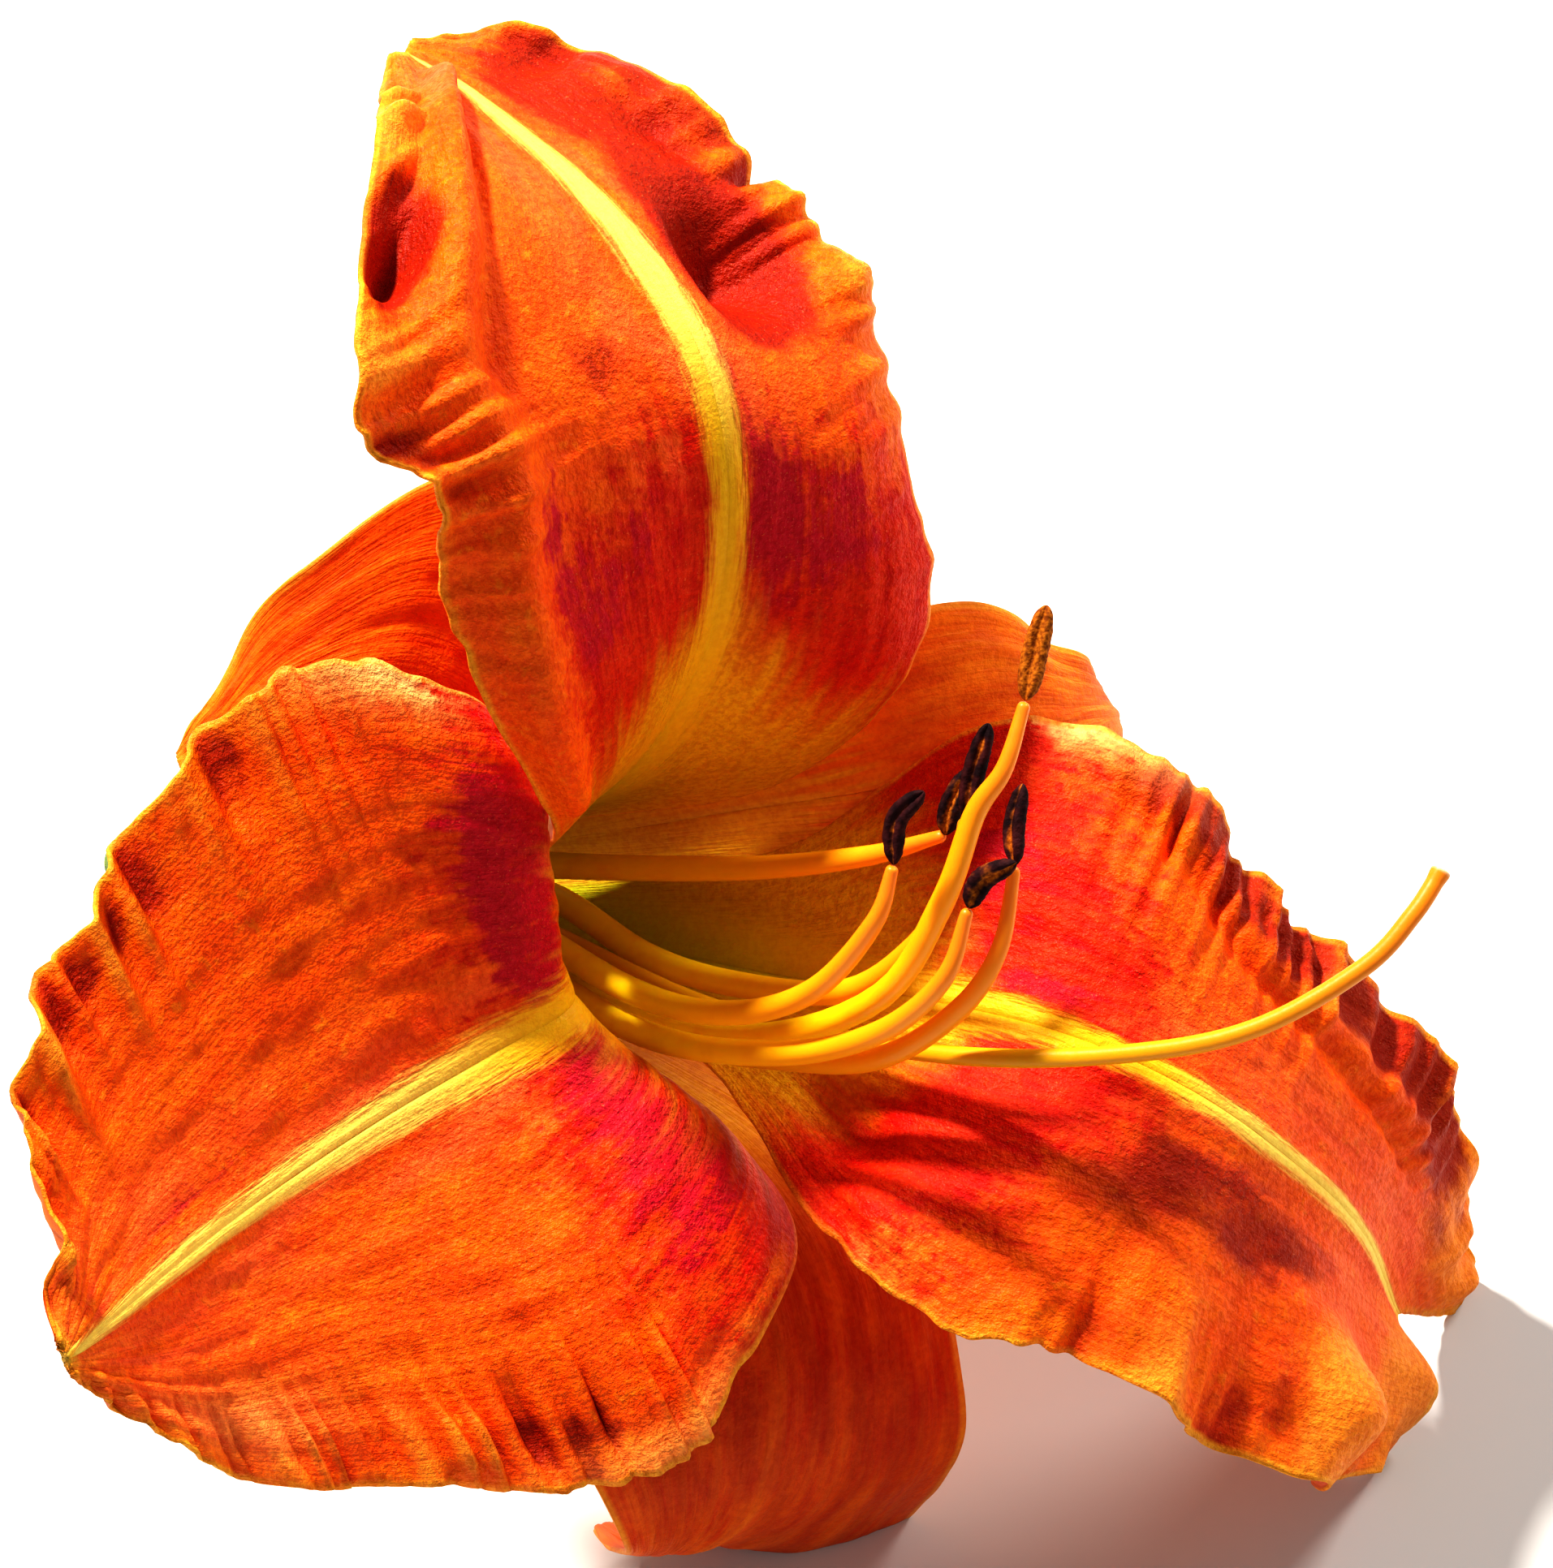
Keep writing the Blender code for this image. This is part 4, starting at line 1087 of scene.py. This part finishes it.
def waxyMaterial(name, look):
    material, tree = newMaterial(name, look["finish"])
    share, where = mark(tree, "share"), ownPlace(tree)
    mottle = ramp(tree, noise(tree, where, look["mottleScale"], 3), 0.4, 0.75, 0.3)
    layers = [(ramp(tree, share, *span), colour) for span, colour in look["below"]]
    layers.append((mottle, look["mottle"]))
    layers += [(ramp(tree, share, *span), colour) for span, colour in look["above"]]
    colour = layered(tree, look["first"], layers)
    return dressed(material, colour, noise(tree, where, look["bumpScale"]), 0.25, 0.1)


def antherMaterial(name, pollen):
    material, tree = newMaterial(name, {"Roughness": 0.75, "Specular IOR Level": 0.15})
    where = ownPlace(tree)
    grains, clumps = noise(tree, where, 3200.0), noise(tree, where, 650.0)
    dark = blend(tree, ramp(tree, clumps, 0.35, 0.7), (0.012, 0.003, 0.005, 1), (0.06, 0.010, 0.012, 1))
    dust = blend(tree, ramp(tree, grains, 0.3, 0.7), (0.20, 0.045, 0.002, 1), (0.52, 0.16, 0.010, 1))
    loose = calc(tree, "ADD", clumps, mark(tree, "groove"))
    cover = ramp(tree, calc(tree, "ADD", loose, pollen * 1.1), 0.85, 1.15)
    return dressed(material, blend(tree, cover, dark, dust), grains, 0.9, 0.12)


def makeAnther(number, foot, material):
    spec, form = anthers[number], antherForm
    rows, sides = form["grid"]
    places, angle = rodPlaces(rows), turnRound(sides)
    seam = np.exp(-((np.abs(np.sin(angle)) - 1) / form["seamWidth"]) ** 2)
    lobes = form["flat"] + form["lobe"] * np.abs(np.cos(angle)) ** form["lobePower"]
    lobes = lobes - form["seamDepth"] * seam
    lumps = unevenness(number * 7, places, np.linspace(0, 1, sides + 1), *form["lumps"]) * form["lumpHeight"]
    lumps[:, -1] = lumps[:, 0]
    wide = form["radius"] + form["swell"] * spec["pollen"]
    radii = (wide * smoothThrough(form["shape"], places))[:, None] * (lobes + lumps)
    route = [foot] + [foot + np.array(step) for step in spec["run"]]
    marks = {"groove": np.repeat(seam[None, :] * form["seamDust"], rows, 0)}
    makeRod(f"anther{number}", f"anther_{number}", route, places, radii, form["endMm"], marks,
            material)


def makeStamens():
    skin = waxyMaterial("filamentSkin", filamentLook)
    dusts = {n: antherMaterial(f"antherDust{n}", spec["pollen"]) for n, spec in anthers.items()}
    rows, sides = stamens["grid"]
    places = rodPlaces(rows)
    radii = smoothThrough(stamens["radii"], places)[:, None] * np.ones(sides + 1)
    marks = {"share": places[:, None] + 0 * radii}
    for number, route in stamens["routes"].items():
        azimuth = math.radians(stamens["azimuths"][number])
        foot = (stamens["ring"] * math.cos(azimuth), stamens["ring"] * math.sin(azimuth))
        full = [(*foot, stamens["foot"]), (*foot, 0)] + route
        makeRod(f"filament{number}", f"filament_{number}", full, places, radii, stamens["endMm"],
                marks, skin)
        tip = np.array(full[-1], float)
        ending = unit((tip - np.array(full[-2], float))[None])[0]
        makeAnther(number, tip + ending * stamens["gap"], dusts[number])


# The route ends at the stigma and is led down through the tube to the base of the ovary.
pistil = {
    "base": -27.0,
    "ovaryLength": 8.0,
    "ovaryRadius": 2.1,
    "ovaryLobes": 0.08,
    "styleRadius": 0.80,
    "styleTaper": 0.12,
    "stigmaFlare": 0.1,
    "stigmaLobes": 0.12,
    "route": [(0.3, -2.2, 14), (1.5, -7.5, 32.5), (4.3, -9.6, 44), (6.5, -10.5, 59.5), (11, -9.5, 72),
              (15, -7.2, 80.5), (19.6, -2.4, 87), (22.3, 1.7, 89.5), (24.4, 5.2, 90.5)],
    "grid": (150, 20),
    "endMm": 0.8,
}


def makePistil():
    base, ovary = pistil["base"], pistil["ovaryLength"]
    rows, sides = pistil["grid"]
    route = [(0, 0, base), (0, 0, base / 2), (0, 0, 0)] + pistil["route"]
    places = rodPlaces(rows)
    height = smoothThrough(route, places)[:, 2] - base
    swell = softStep(ovary - height, 0, ovary / 2)
    stigma = softStep((places - 1) * (len(route) - 1), -0.35, -0.08)
    radii = pistil["styleRadius"] * (1 - pistil["styleTaper"] * places)
    radii = radii + (pistil["ovaryRadius"] - pistil["styleRadius"]) * swell + pistil["stigmaFlare"] * stigma
    # the ovary has three rounded sides, and so has the stigma
    even = np.linspace(0, 1, rows)
    lobes = (pistil["ovaryLobes"] * np.interp(even, [0, 0.07, 0.1], [1, 1, 0])
             + pistil["stigmaLobes"] * np.interp(even, [0.985, 0.995], [0, 1]))
    radii = radii[:, None] * (1 + lobes[:, None] * np.cos(3 * turnRound(sides)))
    marks = {"share": places[:, None] + 0 * radii}
    makeRod("pistil", "pistil", route, places, radii, pistil["endMm"], marks,
            waxyMaterial("styleSkin", styleLook))


# outside: radius and height. The bore takes the filaments' feet, the channel the style and the cell the
# ovary.
tube = {
    "length": 27.0,
    "outside": [(3.5, -27), (3.9, -22), (4.3, -16), (5.0, -9), (5.9, -4), (6.9, -0.4)],
    "bore": 4.45,
    "boreSteps": (-0.4, -4),
    "ledge": -8.0,
    "channel": 1.45,
    "cell": 2.5,
    "cellTop": -18.0,
    "cellShoulder": 1.5,
    "rimRise": 0.75,
    "rimSteps": 12,
    "ribHeight": 0.16,
    "ribs": 6,
    "veins": 6,
    "grid": (50, 96),
    "base": (0.20, 0.25, 0.025, 1),
    "mouth": (0.52, 0.31, 0.025, 1),
    "streak": (0.17, 0.19, 0.02, 1),
    "finish": {"Roughness": 0.45, "Subsurface Weight": 0.2, "Subsurface Radius": (1.0, 0.6, 0.15),
               "Subsurface Scale": 0.0015},
}
sharpAngle = math.radians(50)


def tubeMaterial():
    material, tree = newMaterial("tubeSkin", tube["finish"])
    streaks = useStreaks(tree)
    colour = layered(tree, tube["base"], [
        (ramp(tree, mark(tree, "share"), 0.1, 0.9), tube["mouth"]),
        (times(tree, streaks["Fine"], 0.35), tube["streak"]),
    ])
    height = calc(tree, "ADD", streaks["Hair"], noise(tree, ownPlace(tree), 1500.0))
    return dressed(material, colour, height, 0.4, 0.15)


def makeTube():
    # the outline runs up the outside, over the rim, and down the bore, channel and cell
    rows, sides = tube["grid"]
    bore, channel, cell = tube["bore"], tube["channel"], tube["cell"]
    steps = np.linspace(0, 1, rows)
    outer = smoothThrough(tube["outside"], steps)
    edge, top = outer[-1]
    arc = np.radians(np.linspace(0, 180, tube["rimSteps"]))[1:-1]
    overRim = (bore + edge) / 2 + (edge - bore) / 2 * np.cos(arc)
    over = np.stack([overRim, top + tube["rimRise"] * np.sin(arc)], 1)
    inner = [(bore, height) for height in (*tube["boreSteps"], tube["ledge"])]
    inner += [(channel, tube["ledge"]), (channel, tube["cellTop"] + tube["cellShoulder"]),
              (cell, tube["cellTop"]), (cell, -tube["length"]), tuple(outer[0])]
    profile = np.concatenate([outer, over, np.array(inner)])
    angle = turnRound(sides)
    ribbed = softStep(steps, 0, 0.1) * softStep(1 - steps, 0, 0.2)
    ribbed = np.concatenate([ribbed, np.zeros(len(over) + len(inner))])
    radius = profile[:, :1] + tube["ribHeight"] * np.cos(tube["ribs"] * angle) * ribbed[:, None]
    local = np.stack([radius * np.cos(angle), radius * np.sin(angle), profile[:, 1:] + 0 * radius], 2)
    local[:, -1] = local[:, 0]
    share = np.clip(1 + local[..., 2] / tube["length"], 0, 1)
    marks = {"share": share, "alongMm": local[..., 2],
             "vein": np.abs(angle - math.pi) * tube["veins"] + 0 * share}
    mesh = gridMesh("perianthTube", toWorld(local), marks, closed=True)
    mesh.set_sharp_from_angle(angle=sharpAngle)
    addPiece("perianthTube", mesh, [tubeMaterial()], "perianth_tube")


# The first rings close the top and the last ones the dished cut: share of the radius, how far in front of
# the end in mm, and how much of it is cut. route starts at the top.
stub = {
    "top": -27.3,
    "length": 11.0,
    "route": [(0, 0, 0), (0, 0, -2.5), (0.3, 0.1, -6.5), (0.9, 0.3, -11)],
    "radii": [3.3, 2.9, 2.2, 2.1],
    "grid": (44, 40),
    "topRings": [(0, 0, 0), (0.9, 0, 0)],
    "cutRings": [(0.96, 0, 0.7), (0.85, -0.06, 1), (0.5, -0.12, 1), (0, -0.1, 1)],
    "veins": 3,
    "dark": (0.10, 0.17, 0.02, 1),
    "light": (0.18, 0.26, 0.04, 1),
    "pith": (0.48, 0.54, 0.26, 1),
    "strand": (0.28, 0.38, 0.11, 1),
    "finish": {"Roughness": 0.45, "Subsurface Weight": 0.15, "Subsurface Radius": (0.6, 1.0, 0.2),
               "Subsurface Scale": 0.001},
}


def stubMaterial():
    material, tree = newMaterial("stubSkin", stub["finish"])
    where, streaks = ownPlace(tree), useStreaks(tree)
    strands = ramp(tree, noise(tree, where, 1400.0), 0.45, 0.6)
    colour = blend(tree, streaks["Fine"], stub["dark"], stub["light"])
    colour = blend(tree, mark(tree, "cut"), colour, blend(tree, strands, stub["pith"], stub["strand"]))
    height = calc(tree, "ADD", streaks["Hair"], noise(tree, where, 1300.0))
    return dressed(material, colour, height, 0.4, 0.15)


def makeStub():
    rows, sides = stub["grid"]
    first, last = len(stub["topRings"]), len(stub["cutRings"])
    body = np.linspace(0, 1, rows)
    places = np.concatenate([np.zeros(first), body, np.ones(last)])
    shares, dish, cut = np.array(stub["topRings"] + [(1, 0, 0)] * rows + stub["cutRings"], float).T
    route = np.array(stub["route"]) + (0, 0, stub["top"])
    forward = unit(np.gradient(smoothThrough(route, body), axis=0))
    local = smoothThrough(route, places) + dish[:, None] * forward[-1]
    radii = (smoothThrough(stub["radii"], places) * shares)[:, None] * np.ones(sides + 1)
    headings = forward[np.clip(np.arange(len(places)) - first, 0, rows - 1)]
    rings = sweptRings(local, headings, np.array([1.0, 0, 0]), radii)
    cut = cut[:, None] + 0 * radii
    marks = {"cut": cut, "alongMm": places[:, None] * stub["length"] + 0 * cut,
             "vein": np.abs(turnRound(sides) - math.pi) * stub["veins"] + 0 * cut}
    mesh = gridMesh("pedicel", toWorld(rings), marks, closed=True)
    mesh.set_sharp_from_angle(angle=sharpAngle)
    addPiece("pedicel", mesh, [stubMaterial()], "pedicel")


studio = {
    "floorSize": 3.0,
    "floorFinish": {"Roughness": 0.7, "Base Color": (0.72, 0.72, 0.71, 1)},
    "world": (1.0, 0.99, 0.97, 1),
    "worldStrength": 0.22,
    "target": (0, 0, 0.045),
    "lights": {
        "key": {"at": (-0.46, 0.44, 0.88), "size": 0.10, "power": 20.0, "colour": (1.0, 0.96, 0.88)},
        "side": {"at": (0.60, 0.55, 0.62), "size": 0.30, "power": 4.5, "colour": (1.0, 0.97, 0.92)},
        "fill": {"at": (0.55, -0.75, 0.55), "size": 0.8, "power": 0.6, "colour": (1.0, 0.97, 0.94)},
    },
}


def makeStudio():
    floor = bpy.data.meshes.new("floor")
    plane = bmesh.new()
    bmesh.ops.create_grid(plane, x_segments=1, y_segments=1, size=studio["floorSize"] / 2)
    plane.to_mesh(floor)
    plane.free()
    floor.materials.append(newMaterial("floorPaint", studio["floorFinish"])[0])
    floorPiece = bpy.data.objects.new("floor", floor)
    bpy.context.scene.collection.objects.link(floorPiece)
    world = bpy.data.worlds.new("room")
    world.use_nodes = True
    background = world.node_tree.nodes["Background"]
    background.inputs["Color"].default_value = studio["world"]
    background.inputs["Strength"].default_value = studio["worldStrength"]
    bpy.context.scene.world = world
    for name, spec in studio["lights"].items():
        lamp = bpy.data.lights.new(name, "AREA")
        lamp.shape = "DISK"
        lamp.size = spec["size"]
        lamp.energy = spec["power"]
        lamp.color = spec["colour"]
        light = bpy.data.objects.new(name, lamp)
        light.location = spec["at"]
        aim = Vector(studio["target"]) - Vector(spec["at"])
        light.rotation_euler = aim.to_track_quat("-Z", "Y").to_euler()
        bpy.context.scene.collection.objects.link(light)


def makeCamera():
    # the bloom's own X, Y and Z as the photo shows them: to the right, up and towards the camera
    side, rise = math.radians(viewpoint["side"]), math.radians(viewpoint["rise"])
    bloomX = np.array([math.cos(side), 0, -math.sin(side)])
    bloomZ = np.array([math.sin(side) * math.cos(rise), math.sin(rise), math.cos(side) * math.cos(rise)])
    axes = np.stack([bloomX, np.cross(bloomZ, bloomX), bloomZ], 1)
    width, height = viewpoint["photoSize"]
    scale = viewpoint["pixelsPerMm"]
    pixelX, pixelY = viewpoint["throatPixel"]
    throat = np.array([(pixelX - width / 2) / scale, (height / 2 - pixelY) / scale, viewpoint["throatDepth"]])
    eyePoint = (np.array([0, 0, viewpoint["distance"]]) - throat) @ axes
    matrix = Matrix((turnMatrix @ axes.T).tolist()).to_4x4()
    matrix.translation = Vector(toWorld(eyePoint) * mm)
    data = bpy.data.cameras.new("camera")
    data.sensor_width = 36.0
    data.lens = data.sensor_width * viewpoint["distance"] / (height / scale)
    camera = bpy.data.objects.new("camera", data)
    camera.matrix_world = matrix
    bpy.context.scene.collection.objects.link(camera)
    bpy.context.scene.camera = camera


def main():
    front, back, plain = petalFront(), bladeBack(), sepalFront()
    makeBlade("petalUpper", "petal_upper", petalUpper, [front, back], "petal")
    makeBlade("petalLeft", "petal_left", petalLeft, [front, back], "petal")
    makeBlade("petalRight", "petal_right", petalRight, [front, back], "petal")
    print("petals made")
    makeBlade("sepalUpperLeft", "sepal_upper_left", sepalUpperLeft, [plain, back], "sepal")
    makeBlade("sepalUpperRight", "sepal_upper_right", sepalUpperRight, [plain, back], "sepal")
    makeBlade("sepalBottom", "sepal_bottom", sepalBottom, [plain, back], "sepal")
    print("sepals made")
    makeStamens()
    makePistil()
    print("stamens and pistil made")
    makeTube()
    makeStub()
    print("tube and stub made")
    makeStudio()
    makeCamera()
    bpy.context.scene.view_settings.view_transform = "Standard"
    bpy.context.scene.view_settings.look = "High Contrast"
    print("light and camera made")


main()
